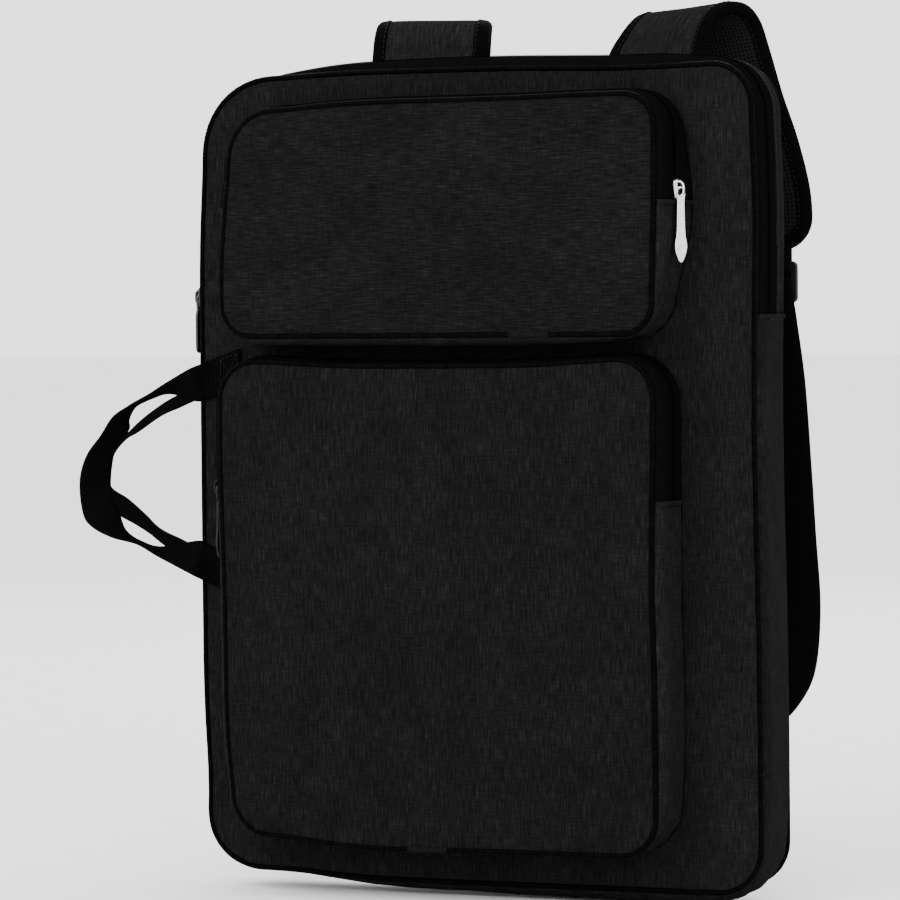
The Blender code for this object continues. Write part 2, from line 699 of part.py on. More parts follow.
def set_origin(part, origin):
    """Move a mesh object's origin without moving its shape."""
    shift = Vector(origin)
    for vert in part.data.vertices:
        vert.co -= shift
    part.location = shift


def pad_half_width(remaining):
    """Half width of a strap pad at a distance from its rounded end."""
    if remaining >= PAD_END_RADIUS:
        return PAD_HALF_WIDTH
    drop = 1.0 - math.sqrt(1.0 - (1.0 - remaining / PAD_END_RADIUS) ** 2)
    return PAD_HALF_WIDTH - PAD_END_RADIUS * drop


def pad_frames(route, steps):
    """Frames along a pad, with extra ones where its end rounds off."""
    frames = route_frames(route, steps)
    length = frames[-1][3]
    straight = [frame for frame in frames if frame[3] < length - PAD_END_RADIUS - 0.002]
    place, across, along, distance = frames[-1]
    for turn in range(0, 91, 18):
        back = PAD_END_RADIUS * (1.0 - math.sin(math.radians(turn)))
        straight.append((place - along * back, across, along, length - back))
    return straight


def add_strap(side, strap):
    """Padded shoulder strap: sewn end, pad, binding, buckle, webbing and anchor."""
    prefix = side + "_strap_"
    sewn_rows = [(place - across * PAD_HALF_WIDTH, place + across * PAD_HALF_WIDTH)
                 for place, across, along, distance in route_frames(strap["sewn"], 3)]
    ribbon(prefix + "sewn_end", sewn_rows, PAD_THICKNESS, heather(prefix + "sewn_end"))
    frames = pad_frames(strap["pad"], 4)
    length = frames[-1][3]
    core = [(place - across * pad_half_width(length - distance),
             place + across * pad_half_width(length - distance))
            for place, across, along, distance in frames]
    ribbon(prefix + "pad", core, PAD_THICKNESS, heather(prefix + "pad"))
    add_binding(prefix + "binding", frames, length)
    end_place, end_across, end_along, end_distance = frames[-1]
    lock = end_place + end_along * LOCK_DROP
    add_lock(prefix, lock, end_place)
    add_strap_webbing(prefix, strap, lock)
    anchor = Vector(strap["anchor"])
    half = Vector(ANCHOR_SIZE) / 2.0
    add_block(prefix + "anchor", anchor - half, anchor + half, black_fabric(prefix + "anchor"))


def add_binding(name, frames, length):
    """Binding tape round the pad's two long edges and its rounded end."""
    outset = BINDING_GAP + BINDING_THICKNESS / 2.0
    sides = []
    for sign in (-1.0, 1.0):
        edge = []
        for place, across, along, distance in frames:
            remaining = length - distance
            slope = max(0.0, 1.0 - remaining / PAD_END_RADIUS)
            square = (across - along * across.dot(along)).normalized()
            outward = (square * sign * math.sqrt(1.0 - slope ** 2) + along * slope).normalized()
            normal = across.cross(along).normalized()
            rim = place + across * sign * pad_half_width(remaining) + outward * outset
            edge.append((rim - normal * BINDING_DEPTH / 2.0, rim + normal * BINDING_DEPTH / 2.0))
        sides.append(edge)
    ribbon(name, sides[0] + list(reversed(sides[1])), BINDING_THICKNESS, black_fabric(name))


def add_lock(prefix, lock, pad_end):
    """Ladder lock below the pad, and the webbing loop that holds its top bar."""
    half_height = LOCK_SLOT_HEIGHT + LOCK_MIDDLE_BAR / 2.0 + LOCK_END_BAR
    outer = rounded_outline(lock.x - LOCK_WIDTH / 2.0, lock.x + LOCK_WIDTH / 2.0,
                            lock.z - half_height, lock.z + half_height, (LOCK_CORNER,) * 4)
    slots = []
    for sign in (-1.0, 1.0):
        middle = lock.z + sign * (LOCK_MIDDLE_BAR + LOCK_SLOT_HEIGHT) / 2.0
        slots.append(rounded_outline(lock.x - LOCK_SLOT_WIDTH / 2.0, lock.x + LOCK_SLOT_WIDTH / 2.0,
                                     middle - LOCK_SLOT_HEIGHT / 2.0,
                                     middle + LOCK_SLOT_HEIGHT / 2.0,
                                     (LOCK_SLOT_CORNER,) * 4))
    flat_sheet(prefix + "ladder_lock", [outer] + slots, lock.y - LOCK_THICKNESS / 2.0,
               lock.y + LOCK_THICKNESS / 2.0,
               finish_for(prefix + "ladder_lock", BLACK, 0.4))
    turn_z = lock.z + LOCK_MIDDLE_BAR / 2.0 + LOCK_SLOT_HEIGHT + LOOP_CLEARANCE
    top_z = pad_end.z - BINDING_GAP - BINDING_THICKNESS - 2.0 * GAP
    route = [(lock.x, lock.y - LOCK_PASS, top_z)]
    route += [(lock.x, lock.y - LOCK_PASS * math.cos(math.radians(a)),
               turn_z - LOCK_PASS * math.sin(math.radians(a))) for a in range(0, 181, 30)]
    route += [(lock.x, lock.y + LOCK_PASS, top_z)]
    straight_webbing(prefix + "lock_loop", route)


def straight_webbing(name, places):
    """Strap webbing whose width runs left to right, through points as they are."""
    half = Vector((STRAP_WEBBING_WIDTH / 2.0, 0.0, 0.0))
    rows = [(Vector(place) - half, Vector(place) + half) for place in places]
    ribbon(name, rows, STRAP_WEBBING_THICKNESS, black_fabric(name))


def add_strap_webbing(prefix, strap, lock):
    """Webbing from the anchor up to the ladder lock, round its middle bar and down again."""
    approach = [(lock.x, lock.y - LOCK_PASS, lock.z - LOCK_APPROACH)]
    run = smooth_rows(list(strap["run"]) + approach, 3)
    turn_z = lock.z + WRAP_CLEARANCE
    wrap = [Vector((lock.x, lock.y - LOCK_PASS * math.cos(math.radians(a)),
                    turn_z + LOCK_PASS * math.sin(math.radians(a)))) for a in range(0, 181, 30)]
    tail = smooth_rows([(lock.x, lock.y + LOCK_PASS + behind, lock.z - below)
                        for behind, below in WEBBING_TAIL], 3)
    straight_webbing(prefix + "webbing", run + wrap + tail)


def hang_on_axis(name, place, members):
    """Parent empty for a moving group, standing on its joint's axis."""
    empty = bpy.data.objects.new(name + "_axis", None)
    empty.location = place
    CUTTERS.objects.link(empty)
    bpy.context.view_layer.update()
    for member in members:
        part = PARTS.objects[member]
        part.parent = empty
        part.matrix_parent_inverse = empty.matrix_world.inverted()
    return empty


def group_moving_parts():
    """Stand each moving group of parts on its joint's axis."""
    hang_on_axis("upper_pocket_fold", (0.0, POCKET_HINGE_Y, UPPER_POCKET["hinge"]),
                 ["upper_pocket_" + part for part in POCKET_FLAP_PARTS])
    hang_on_axis("lower_pocket_fold", (0.0, POCKET_HINGE_Y, LOWER_POCKET["hinge"]),
                 ["lower_pocket_" + part for part in POCKET_FLAP_PARTS])
    hang_on_axis("main_flap_fold", (0.0, MAIN_HINGE_Y, MAIN_HINGE_Z), MAIN_FLAP_PARTS)
    for side, strap in STRAPS.items():
        hang_on_axis(side + "_strap_swing", strap["sewn_point"],
                     [side + "_strap_" + part for part in STRAP_SWING_PARTS])


def add_zip_pulls():
    """The three sliders and their pullers, each parked at an end of its zip."""
    main_x = -CASE_HALF_WIDTH + GUSSET_SIDE_INSET - CASE_BULGE
    axis_x, axis_z = add_slider("main_zip", -1.0, main_x, MAIN_CLOSURE_Y,
                                MAIN_ZIP_FREE - 2.0 * GAP - SLIDER_LENGTH,
                                finish_for("main_zip_slider", GUNMETAL, 0.35, 1.0))
    add_puller("main_zip", -1.0, axis_x, MAIN_CLOSURE_Y, axis_z, MAIN_PULLER_LENGTH,
               finish_for("main_zip_puller", GUNMETAL, 0.35, 1.0))
    upper_x = UPPER_POCKET["right"] + POCKET_BULGE
    axis_x, axis_z = add_slider("upper_pocket_zip", 1.0, upper_x, POCKET_CLOSURE_Y,
                                UPPER_POCKET["hinge"] - 2.0 * GAP - SLIDER_LENGTH,
                                finish_for("upper_pocket_zip_slider", SILVER, 0.2, 1.0))
    add_puller("upper_pocket_zip", 1.0, axis_x, POCKET_CLOSURE_Y, axis_z, POCKET_PULLER_LENGTH,
               finish_for("upper_pocket_zip_puller", SILVER, 0.2, 1.0))
    lower_x = LOWER_POCKET["left"] - POCKET_BULGE
    axis_x, axis_z = add_slider("lower_pocket_zip", -1.0, lower_x, POCKET_CLOSURE_Y,
                                LOWER_POCKET["hinge"] - 2.0 * GAP - SLIDER_LENGTH,
                                finish_for("lower_pocket_zip_slider", GUNMETAL, 0.35, 1.0))
    add_puller("lower_pocket_zip", -1.0, axis_x, POCKET_CLOSURE_Y, axis_z, POCKET_PULLER_LENGTH,
               finish_for("lower_pocket_zip_puller", GUNMETAL, 0.35, 1.0))


clear_scene()
PARTS = new_collection("portfolio_case")
CUTTERS = new_collection("cutters")
add_case()
add_case_walls()
add_pocket("upper_pocket", UPPER_POCKET)
add_pocket("lower_pocket", LOWER_POCKET)
add_zip_pulls()
add_handles()
for strap_side, strap_sizes in STRAPS.items():
    add_strap(strap_side, strap_sizes)
group_moving_parts()
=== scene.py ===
"""Looks of the portfolio case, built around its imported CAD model.

Units are metres in the row frame: +X right, -Y front, +Z up.
"""

import math

import bpy
import numpy as np
from mathutils import Matrix, Vector, noise


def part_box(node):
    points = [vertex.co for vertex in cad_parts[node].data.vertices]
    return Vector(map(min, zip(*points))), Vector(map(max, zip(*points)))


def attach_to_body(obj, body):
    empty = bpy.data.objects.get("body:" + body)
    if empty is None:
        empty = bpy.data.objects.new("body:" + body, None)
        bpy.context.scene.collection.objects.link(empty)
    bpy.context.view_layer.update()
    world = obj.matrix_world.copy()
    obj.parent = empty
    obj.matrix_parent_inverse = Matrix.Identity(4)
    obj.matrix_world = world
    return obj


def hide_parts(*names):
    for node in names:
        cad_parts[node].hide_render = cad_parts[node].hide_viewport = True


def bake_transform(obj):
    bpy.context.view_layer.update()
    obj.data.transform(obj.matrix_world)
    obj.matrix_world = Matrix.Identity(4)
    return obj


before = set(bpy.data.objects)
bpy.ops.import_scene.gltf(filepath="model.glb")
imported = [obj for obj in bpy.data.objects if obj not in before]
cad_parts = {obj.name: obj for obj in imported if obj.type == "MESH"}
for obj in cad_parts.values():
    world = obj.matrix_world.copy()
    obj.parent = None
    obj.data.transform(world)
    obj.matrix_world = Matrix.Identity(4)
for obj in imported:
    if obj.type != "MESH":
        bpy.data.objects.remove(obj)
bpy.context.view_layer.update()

# ---------------------------------------------------------------- sizes
SEAM_GAP = 0.002          # CAD sheets stop this far inside their seam line
PIPING_RADIUS = 0.0017
CASE_RADII = (0.038, 0.026, 0.026, 0.047)
CASE_BULGE, CASE_REACH = 0.009, 0.010
CASE_SEAM_Y = 0.0245
MAIN_CLOSURE_Y = -0.0115
STRIP_Y = 0.002
UPPER_RADII = (0.018, 0.018, 0.018, 0.032)
LOWER_RADII = (0.024, 0.022, 0.022, 0.022)
POCKET_SEAM_Y = -0.0595
POCKET_CLOSURE_Y = -0.042
POCKET_BULGE, POCKET_REACH = 0.006, 0.012
SEWN_DIP, SEWN_DIP_Y = 0.0018, -0.0302
# depths of the dark strip at a pocket wall's foot: partly the real seam, partly painted shade of the
# contact line
SEAM_SHADE_LINE_Y = (-0.0284, -0.0260)
HANDLE_WIDTH, HANDLE_NARROW = 0.0235, 0.0210
HANDLE_ENDS = (0.3055, 0.1990)
HANDLE_LOOPS = {          # outer edge and inner edge of each hanging loop
    "front_handle": (
        ((-0.1980, -0.0310, 0.3050), (-0.2045, -0.0100, 0.2980)),
        ((-0.2090, -0.0330, 0.2980), (-0.2155, -0.0115, 0.2955)),
        ((-0.2220, -0.0320, 0.2915), (-0.2275, -0.0105, 0.2905)),
        ((-0.2340, -0.0300, 0.2845), (-0.2330, -0.0100, 0.2825)),
        ((-0.2435, -0.0270, 0.2730), (-0.2335, -0.0105, 0.2760)),
        ((-0.2545, -0.0245, 0.2605), (-0.2435, -0.0090, 0.2645)),
        ((-0.2605, -0.0220, 0.2445), (-0.2480, -0.0070, 0.2460)),
        ((-0.2595, -0.0215, 0.2250), (-0.2445, -0.0100, 0.2345)),
        ((-0.2510, -0.0250, 0.2170), (-0.2405, -0.0090, 0.2240)),
        ((-0.2345, -0.0310, 0.2110), (-0.2355, -0.0105, 0.2145)),
        ((-0.2170, -0.0340, 0.2075), (-0.2240, -0.0125, 0.2080)),
        ((-0.2040, -0.0335, 0.2005), (-0.2105, -0.0125, 0.2050)),
    ),
    "rear_handle": (
        ((-0.1985, 0.0345, 0.3050), (-0.1965, 0.0165, 0.2945)),
        ((-0.2155, 0.0340, 0.2985), (-0.2105, 0.0145, 0.2890)),
        ((-0.2295, 0.0340, 0.2920), (-0.2225, 0.0135, 0.2840)),
        ((-0.2445, 0.0320, 0.2815), (-0.2375, 0.0115, 0.2740)),
        ((-0.2525, 0.0300, 0.2735), (-0.2455, 0.0085, 0.2690)),
        ((-0.2675, 0.0280, 0.2615), (-0.2520, 0.0065, 0.2595)),
        ((-0.2710, 0.0265, 0.2465), (-0.2545, 0.0050, 0.2470)),
        ((-0.2695, 0.0265, 0.2340), (-0.2525, 0.0055, 0.2395)),
        ((-0.2605, 0.0265, 0.2210), (-0.2430, 0.0080, 0.2330)),
        ((-0.2515, 0.0300, 0.2155), (-0.2325, 0.0105, 0.2235)),
        ((-0.2420, 0.0335, 0.2100), (-0.2245, 0.0135, 0.2150)),
        ((-0.2305, 0.0340, 0.2010), (-0.2120, 0.0145, 0.2090)),
        ((-0.2100, 0.0345, 0.1950), (-0.1985, 0.0155, 0.2045)),
    ),
}
HANDLE_TILTS = (0.35, -0.50)     # slope of the front handle's sewn ends, upper and lower
PAD_HALF, PAD_THICK, PAD_ROUND = 0.0315, 0.008, 0.018
STRAPS = {
    "right": {
        "edges": (
            ((0.0635, 0.0298, 0.452), (0.1265, 0.0298, 0.452)),
            ((0.0645, 0.0312, 0.484), (0.1245, 0.0318, 0.484)),
            ((0.0660, 0.0350, 0.4990), (0.1215, 0.0405, 0.4990)),
            ((0.0740, 0.0415, 0.5140), (0.1235, 0.0460, 0.5125)),
            ((0.0785, 0.0500, 0.5195), (0.1275, 0.0560, 0.5225)),
            ((0.0805, 0.0585, 0.5180), (0.1375, 0.0680, 0.5265)),
            ((0.0840, 0.0680, 0.5110), (0.1432, 0.0785, 0.5195)),
            ((0.0880, 0.0740, 0.4930), (0.1480, 0.0830, 0.5020)),
            ((0.0935, 0.0770, 0.4640), (0.1558, 0.0845, 0.4740)),
            ((0.1015, 0.0790, 0.4380), (0.1656, 0.0840, 0.4460)),
            ((0.1095, 0.0800, 0.4110), (0.1735, 0.0825, 0.4140)),
            ((0.1100, 0.0805, 0.3820), (0.1745, 0.0815, 0.3825)),
        ),
        "run": (
            (0.1550, 0.0290, 0.1030), (0.1552, 0.0332, 0.1044), (0.1595, 0.0500, 0.1085),
            (0.1622, 0.0830, 0.1280), (0.1597, 0.1040, 0.1650), (0.1559, 0.1080, 0.2100),
            (0.1547, 0.1020, 0.2600), (0.1550, 0.0905, 0.3050),
        ),
        "lock_shift": 0.0088, "web_drift": 0.0040,
    },
    "left": {
        "edges": (
            ((-0.0880, 0.0298, 0.452), (-0.0250, 0.0298, 0.452)),
            ((-0.0880, 0.0312, 0.484), (-0.0215, 0.0318, 0.484)),
            ((-0.0872, 0.0350, 0.4985), (-0.0175, 0.0430, 0.4985)),
            ((-0.0874, 0.0385, 0.5105), (-0.0175, 0.0465, 0.5100)),
            ((-0.0885, 0.0450, 0.5180), (-0.0190, 0.0540, 0.5175)),
            ((-0.0915, 0.0560, 0.5200), (-0.0225, 0.0640, 0.5190)),
            ((-0.0945, 0.0670, 0.5120), (-0.0270, 0.0735, 0.5110)),
            ((-0.0960, 0.0735, 0.4930), (-0.0300, 0.0780, 0.4930)),
            ((-0.0975, 0.0775, 0.4600), (-0.0325, 0.0795, 0.4600)),
            ((-0.1010, 0.0805, 0.4200), (-0.0375, 0.0810, 0.4200)),
            ((-0.1015, 0.0825, 0.3820), (-0.0385, 0.0825, 0.3820)),
        ),
        "run": (
            (-0.1450, 0.0290, 0.1030), (-0.1450, 0.0332, 0.1044), (-0.1450, 0.0500, 0.1090),
            (-0.1440, 0.0810, 0.1280), (-0.1370, 0.1010, 0.1650), (-0.1220, 0.1050, 0.2100),
            (-0.1000, 0.1010, 0.2600), (-0.0800, 0.0925, 0.3050),
        ),
        "lock_shift": 0.0, "web_drift": 0.0,
    },
}
# Where each sewn outline wanders from a true rounded rectangle:
# place (x, z), shift (x, z) and how far the shift spreads.
CASE_PULLS = (
    ((-0.176, 0.450), (0.0030, 0.0), 0.035), ((-0.138, 0.489), (0.0, -0.0022), 0.030),
    ((-0.176, 0.060), (0.0026, 0.0), 0.030), ((-0.136, 0.009), (0.0, 0.0040), 0.034),
    ((0.176, 0.290), (-0.0026, 0.0), 0.080), ((0.176, 0.465), (-0.0028, 0.0), 0.030),
    ((0.100, 0.489), (0.0, -0.0018), 0.040),
)
UPPER_PULLS = (
    ((-0.146, 0.445), (0.0046, 0.0), 0.028), ((-0.118, 0.4695), (0.0, -0.0034), 0.028),
    ((0.095, 0.4695), (0.0, 0.0012), 0.030), ((0.1255, 0.350), (-0.0018, 0.0), 0.030),
    ((-0.146, 0.365), (-0.0010, 0.0), 0.020),
)
LOWER_PULLS = (
    ((-0.1465, 0.045), (0.0045, 0.0), 0.028), ((-0.128, 0.0325), (0.0, 0.0048), 0.032),
    ((-0.1465, 0.270), (-0.0022, 0.0), 0.050), ((-0.130, 0.315), (0.0, 0.0030), 0.030),
    ((0.108, 0.315), (0.0, 0.0034), 0.030), ((0.124, 0.195), (-0.0016, 0.0), 0.040),
    ((-0.045, 0.0325), (0.0, -0.0010), 0.035),
)
HEM_STITCH = 0.0031
HEM_LIFTS = (-0.0002, 0.0009, 0.0013, 0.0014, 0.0013, 0.0005, -0.0006, 0.0001, 0.0, 0.0)
# creases gathered in the corners of a wall
CREASE_REACH = 0.016
CREASE_PITCH = 0.0105
CREASE_SLANT = 0.035
# zip tape: its thickness, and half the gap between the front and rear tapes
TAPE_THICK = 0.0009
TAPE_GAP = 0.0003
# how far back from the closure a pocket wall's flare reaches its full height
FLARE_DEPTH = 0.0175
LOCK_PASS = 0.0029
LOCK_BAR, LOCK_SLOT = 0.004, 0.0048
STRAP_WEB, STRAP_WEB_THICK = 0.025, 0.0015


def around(node_low, node_high):
    """Seam rectangle (left, right, bottom, top) round two CAD sheets."""
    low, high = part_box(node_low)[0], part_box(node_high)[1]
    return low.x - SEAM_GAP, high.x + SEAM_GAP, low.z - SEAM_GAP, high.z + SEAM_GAP


CASE = around("front_panel_lower", "front_panel_upper")


# ---------------------------------------------------------------- materials
class Nodes:
    """Short calls for building one material's node tree."""

    def __init__(self, name, colour, roughness, metallic=0.0, sheen=0.0, specular=0.1):
        self.material = bpy.data.materials.new(name)
        self.material.use_nodes = True
        self.tree = self.material.node_tree
        self.shader = self.tree.nodes["Principled BSDF"]
        self.shader.inputs["Base Color"].default_value = (*colour, 1.0)
        self.shader.inputs["Roughness"].default_value = roughness
        self.shader.inputs["Metallic"].default_value = metallic
        self.shader.inputs["Sheen Weight"].default_value = sheen
        self.shader.inputs["Sheen Roughness"].default_value = 0.5
        self.shader.inputs["Specular IOR Level"].default_value = specular

    def add(self, kind, **values):
        node = self.tree.nodes.new(kind)
        for key, value in values.items():
            setattr(node, key, value)
        return node

    def link(self, source, target):
        self.tree.links.new(source, target)

    def weave(self, scale, seed=0.0):
        """The fabric's own coordinates in metres, scaled on each axis."""
        source = self.add("ShaderNodeAttribute", attribute_name="weave")
        mapping = self.add("ShaderNodeMapping")
        mapping.inputs["Scale"].default_value = scale
        mapping.inputs["Location"].default_value = (seed, seed * 0.7, seed * 0.3)
        self.link(source.outputs["Vector"], mapping.inputs["Vector"])
        return mapping.outputs["Vector"]

    def space(self, scale):
        """The object's coordinates in metres, scaled."""
        source = self.add("ShaderNodeTexCoord")
        mapping = self.add("ShaderNodeMapping")
        mapping.inputs["Scale"].default_value = scale
        self.link(source.outputs["Object"], mapping.inputs["Vector"])
        return mapping.outputs["Vector"]

    def noise(self, vector, detail=2.0, roughness=0.5):
        node = self.add("ShaderNodeTexNoise")
        node.inputs["Scale"].default_value = 1.0
        node.inputs["Detail"].default_value = detail
        node.inputs["Roughness"].default_value = roughness
        self.link(vector, node.inputs["Vector"])
        return node.outputs["Fac"]

    def math(self, operation, first, second=None):
        node = self.add("ShaderNodeMath", operation=operation)
        for slot_number, value in enumerate((first, second)):
            if value is None:
                continue
            if isinstance(value, (int, float)):
                node.inputs[slot_number].default_value = value
            else:
                self.link(value, node.inputs[slot_number])
        return node.outputs[0]

    def spread(self, value, low, high, to_low=0.0, to_high=1.0):
        node = self.add("ShaderNodeMapRange")
        node.inputs["From Min"].default_value = low
        node.inputs["From Max"].default_value = high
        node.inputs["To Min"].default_value = to_low
        node.inputs["To Max"].default_value = to_high
        self.link(value, node.inputs["Value"])
        return node.outputs["Result"]

    def axes(self, vector):
        node = self.add("ShaderNodeSeparateXYZ")
        self.link(vector, node.inputs["Vector"])
        return node.outputs["X"], node.outputs["Y"]

    def ramp(self, value, stops):
        node = self.add("ShaderNodeValToRGB")
        elements = node.color_ramp.elements
        while len(elements) < len(stops):
            elements.new(0.5)
        for element, (position, colour) in zip(elements, stops):
            element.position = position
            element.color = (*colour, 1.0)
        self.link(value, node.inputs["Fac"])
        return node.outputs["Color"]

    def colour(self, value, stops):
        self.link(self.ramp(value, stops), self.shader.inputs["Base Color"])

    def bump(self, height, distance, strength=1.0, normal=None):
        node = self.add("ShaderNodeBump")
        node.inputs["Distance"].default_value = distance
        node.inputs["Strength"].default_value = strength
        self.link(height, node.inputs["Height"])
        if normal is not None:
            self.link(normal, node.inputs["Normal"])
        self.link(node.outputs["Normal"], self.shader.inputs["Normal"])
        return node.outputs["Normal"]

    def roughness(self, value, low, high):
        self.link(self.spread(value, 0.3, 0.7, low, high), self.shader.inputs["Roughness"])


def grey(value, tint=1.0):
    return value, value * tint, value * tint


def plain_weave(nodes, pitch):
    """Height of a plain weave: threads of two directions passing over each other."""
    across, along = nodes.axes(nodes.weave((math.tau / pitch,) * 3))
    over = nodes.math("MULTIPLY", nodes.math("SINE", across), nodes.math("SINE", along))
    return nodes.spread(over, -1.0, 1.0)


def heather_material(name, level, pitch=0.00075):
    """Melange cloth: dark ground with lighter slubs drawn out along the warp."""
    nodes = Nodes(name, grey(level), 0.88, sheen=0.002, specular=0.003)
    long_slubs = nodes.noise(nodes.weave((1150.0, 95.0, 95.0)), 3.0, 0.6)
    cross_slubs = nodes.noise(nodes.weave((120.0, 900.0, 95.0), 3.1), 2.0, 0.55)
    broad = nodes.noise(nodes.weave((45.0, 22.0, 30.0), 7.7), 3.0, 0.6)
    mixed = nodes.math("ADD", nodes.math("MULTIPLY", long_slubs, 0.62),
                       nodes.math("MULTIPLY", cross_slubs, 0.23))
    mixed = nodes.math("ADD", mixed, nodes.math("MULTIPLY", broad, 0.15))
    nodes.colour(mixed, ((0.30, grey(level * 0.38)), (0.47, grey(level * 0.80)),
                         (0.58, grey(level * 1.30)), (0.72, grey(level * 2.6))))
    nodes.roughness(long_slubs, 0.95, 0.78)
    fine = nodes.bump(plain_weave(nodes, pitch), 0.00022, 0.55)
    nodes.bump(long_slubs, 0.00035, 0.5, fine)
    return nodes.material


def twill_material(name, level, pitch=0.0008, roughness=0.7, specular=0.03):
    """Black zip tape: fine diagonal ribs."""
    nodes = Nodes(name, grey(level), roughness, specular=specular)
    across, along = nodes.axes(nodes.weave((math.tau / pitch, math.tau / pitch / 1.6, 1.0)))
    ribs = nodes.spread(nodes.math("SINE", nodes.math("ADD", across, along)), -1.0, 1.0)
    lint = nodes.noise(nodes.weave((260.0, 700.0, 1.0)), 3.0)
    nodes.colour(lint, ((0.35, grey(level * 0.88)), (0.65, grey(level * 1.2))))
    nodes.roughness(lint, roughness + 0.12, roughness - 0.08)
    nodes.bump(ribs, 0.00018, 0.6)
    return nodes.material


def webbing_material(name, level):
    """Flat polyester webbing: cords along its length, crossed by weft rows."""
    nodes = Nodes(name, grey(level), 0.6, specular=0.0)
    along, across = nodes.axes(nodes.weave((math.tau / 0.0019, math.tau / 0.0021, 1.0)))
    cords = nodes.math("ABSOLUTE", nodes.math("SINE", across))
    rows = nodes.math("SINE", nodes.math("ADD", along, nodes.math("MULTIPLY", cords, 1.4)))
    height = nodes.math("ADD", nodes.math("MULTIPLY", cords, 0.65),
                        nodes.math("MULTIPLY", nodes.spread(rows, -1.0, 1.0), 0.45))
    lint = nodes.noise(nodes.weave((900.0, 300.0, 1.0)), 3.0)
    nodes.colour(nodes.math("ADD", nodes.math("MULTIPLY", lint, 0.6),
                            nodes.math("MULTIPLY", height, 0.4)),
                 ((0.35, grey(level * 0.55)), (0.75, grey(level * 2.1))))
    nodes.roughness(lint, 0.72, 0.5)
    nodes.bump(height, 0.0003, 0.7)
    return nodes.material


def cord_material(name, level):
    """Piping: bias-cut cloth drawn tight over a cord."""
    nodes = Nodes(name, grey(level), 0.5, specular=0.01)
    along, across = nodes.axes(nodes.weave((math.tau / 0.0009, math.tau / 0.0011, 1.0)))
    bias = nodes.spread(nodes.math("SINE", nodes.math("ADD", along, across)), -1.0, 1.0)
    pucker = nodes.noise(nodes.weave((420.0, 60.0, 1.0)), 2.0)
    nodes.colour(pucker, ((0.35, grey(level * 0.75)), (0.7, grey(level * 1.6))))
    nodes.roughness(pucker, 0.6, 0.42)
    fine = nodes.bump(bias, 0.00012, 0.5)
    nodes.bump(pucker, 0.0004, 0.5, fine)
    return nodes.material


def mesh_material(name, level):
    """Spacer mesh on the back: small open cells over a darker ground."""
    nodes = Nodes(name, grey(level), 0.75, specular=0.05)
    cells = nodes.add("ShaderNodeTexVoronoi", feature="DISTANCE_TO_EDGE")
    cells.inputs["Scale"].default_value = 1.0
    cells.inputs["Randomness"].default_value = 0.18
    nodes.link(nodes.weave((430.0, 430.0, 1.0)), cells.inputs["Vector"])
    walls = nodes.spread(cells.outputs["Distance"], 0.05, 0.32, 1.0, 0.0)
    nodes.colour(walls, ((0.2, grey(level * 0.25)), (0.8, grey(level * 1.7))))
    nodes.bump(walls, 0.0005, 0.7)
    return nodes.material


def lining_material(name, level):
    nodes = Nodes(name, grey(level), 0.45, specular=0.15)
    nodes.bump(plain_weave(nodes, 0.0006), 0.0001, 0.5)
    sheen = nodes.noise(nodes.weave((30.0, 30.0, 30.0)), 3.0)
    nodes.colour(sheen, ((0.3, grey(level * 0.8)), (0.7, grey(level * 1.3))))
    return nodes.material


def metal_material(name, level, rough_low, rough_high, tint=1.0):
    """Die-cast metal with fine polishing marks and rubbed high spots."""
    nodes = Nodes(name, grey(level, tint), rough_low, metallic=1.0, specular=0.5)
    nodes.shader.inputs["Specular Tint"].default_value = (*grey(min(level * 4.0, 1.0)), 1.0)
    marks = nodes.noise(nodes.space((2500.0, 2500.0, 260.0)), 3.0)
    rubbed = nodes.noise(nodes.space((220.0,) * 3), 3.0)
    nodes.colour(rubbed, ((0.3, grey(level * 0.82, tint)),
                          (0.7, grey(min(level * 1.1, 0.95), tint))))
    nodes.roughness(rubbed, rough_high, rough_low)
    nodes.bump(marks, 0.00004, 0.35)
    return nodes.material


def plastic_material(name, level, specular):
    """Moulded acetal with a fine spark-eroded grain."""
    nodes = Nodes(name, grey(level), 0.38, specular=specular)
    grain = nodes.noise(nodes.space((3200.0,) * 3), 2.0)
    rubbed = nodes.noise(nodes.space((160.0,) * 3), 2.0)
    nodes.colour(rubbed, ((0.3, grey(level * 0.85)), (0.7, grey(level * 1.35))))
    nodes.roughness(rubbed, 0.46, 0.3)
    nodes.bump(grain, 0.00005, 0.4)
    return nodes.material


def thread_material(name, level):
    nodes = Nodes(name, grey(level), 0.5, specular=0.1)
    twist = nodes.noise(nodes.space((2400.0,) * 3), 1.0)
    nodes.colour(twist, ((0.3, grey(level * 0.6)), (0.7, grey(level * 1.6))))
    nodes.bump(twist, 0.00008, 0.6)
    return nodes.material


HEATHER = heather_material("heather_cloth", 0.0062)
# lighter copy of the same heather cloth for the front cover: painted light
FRONT_HEATHER_PAINTED_LIGHT = heather_material("front_heather_painted_light", 0.0069)
# darker copy of the same heather cloth for the pocket covers: painted shade
FACE_HEATHER_PAINTED_SHADE = heather_material("pocket_heather_painted_shade", 0.0057)
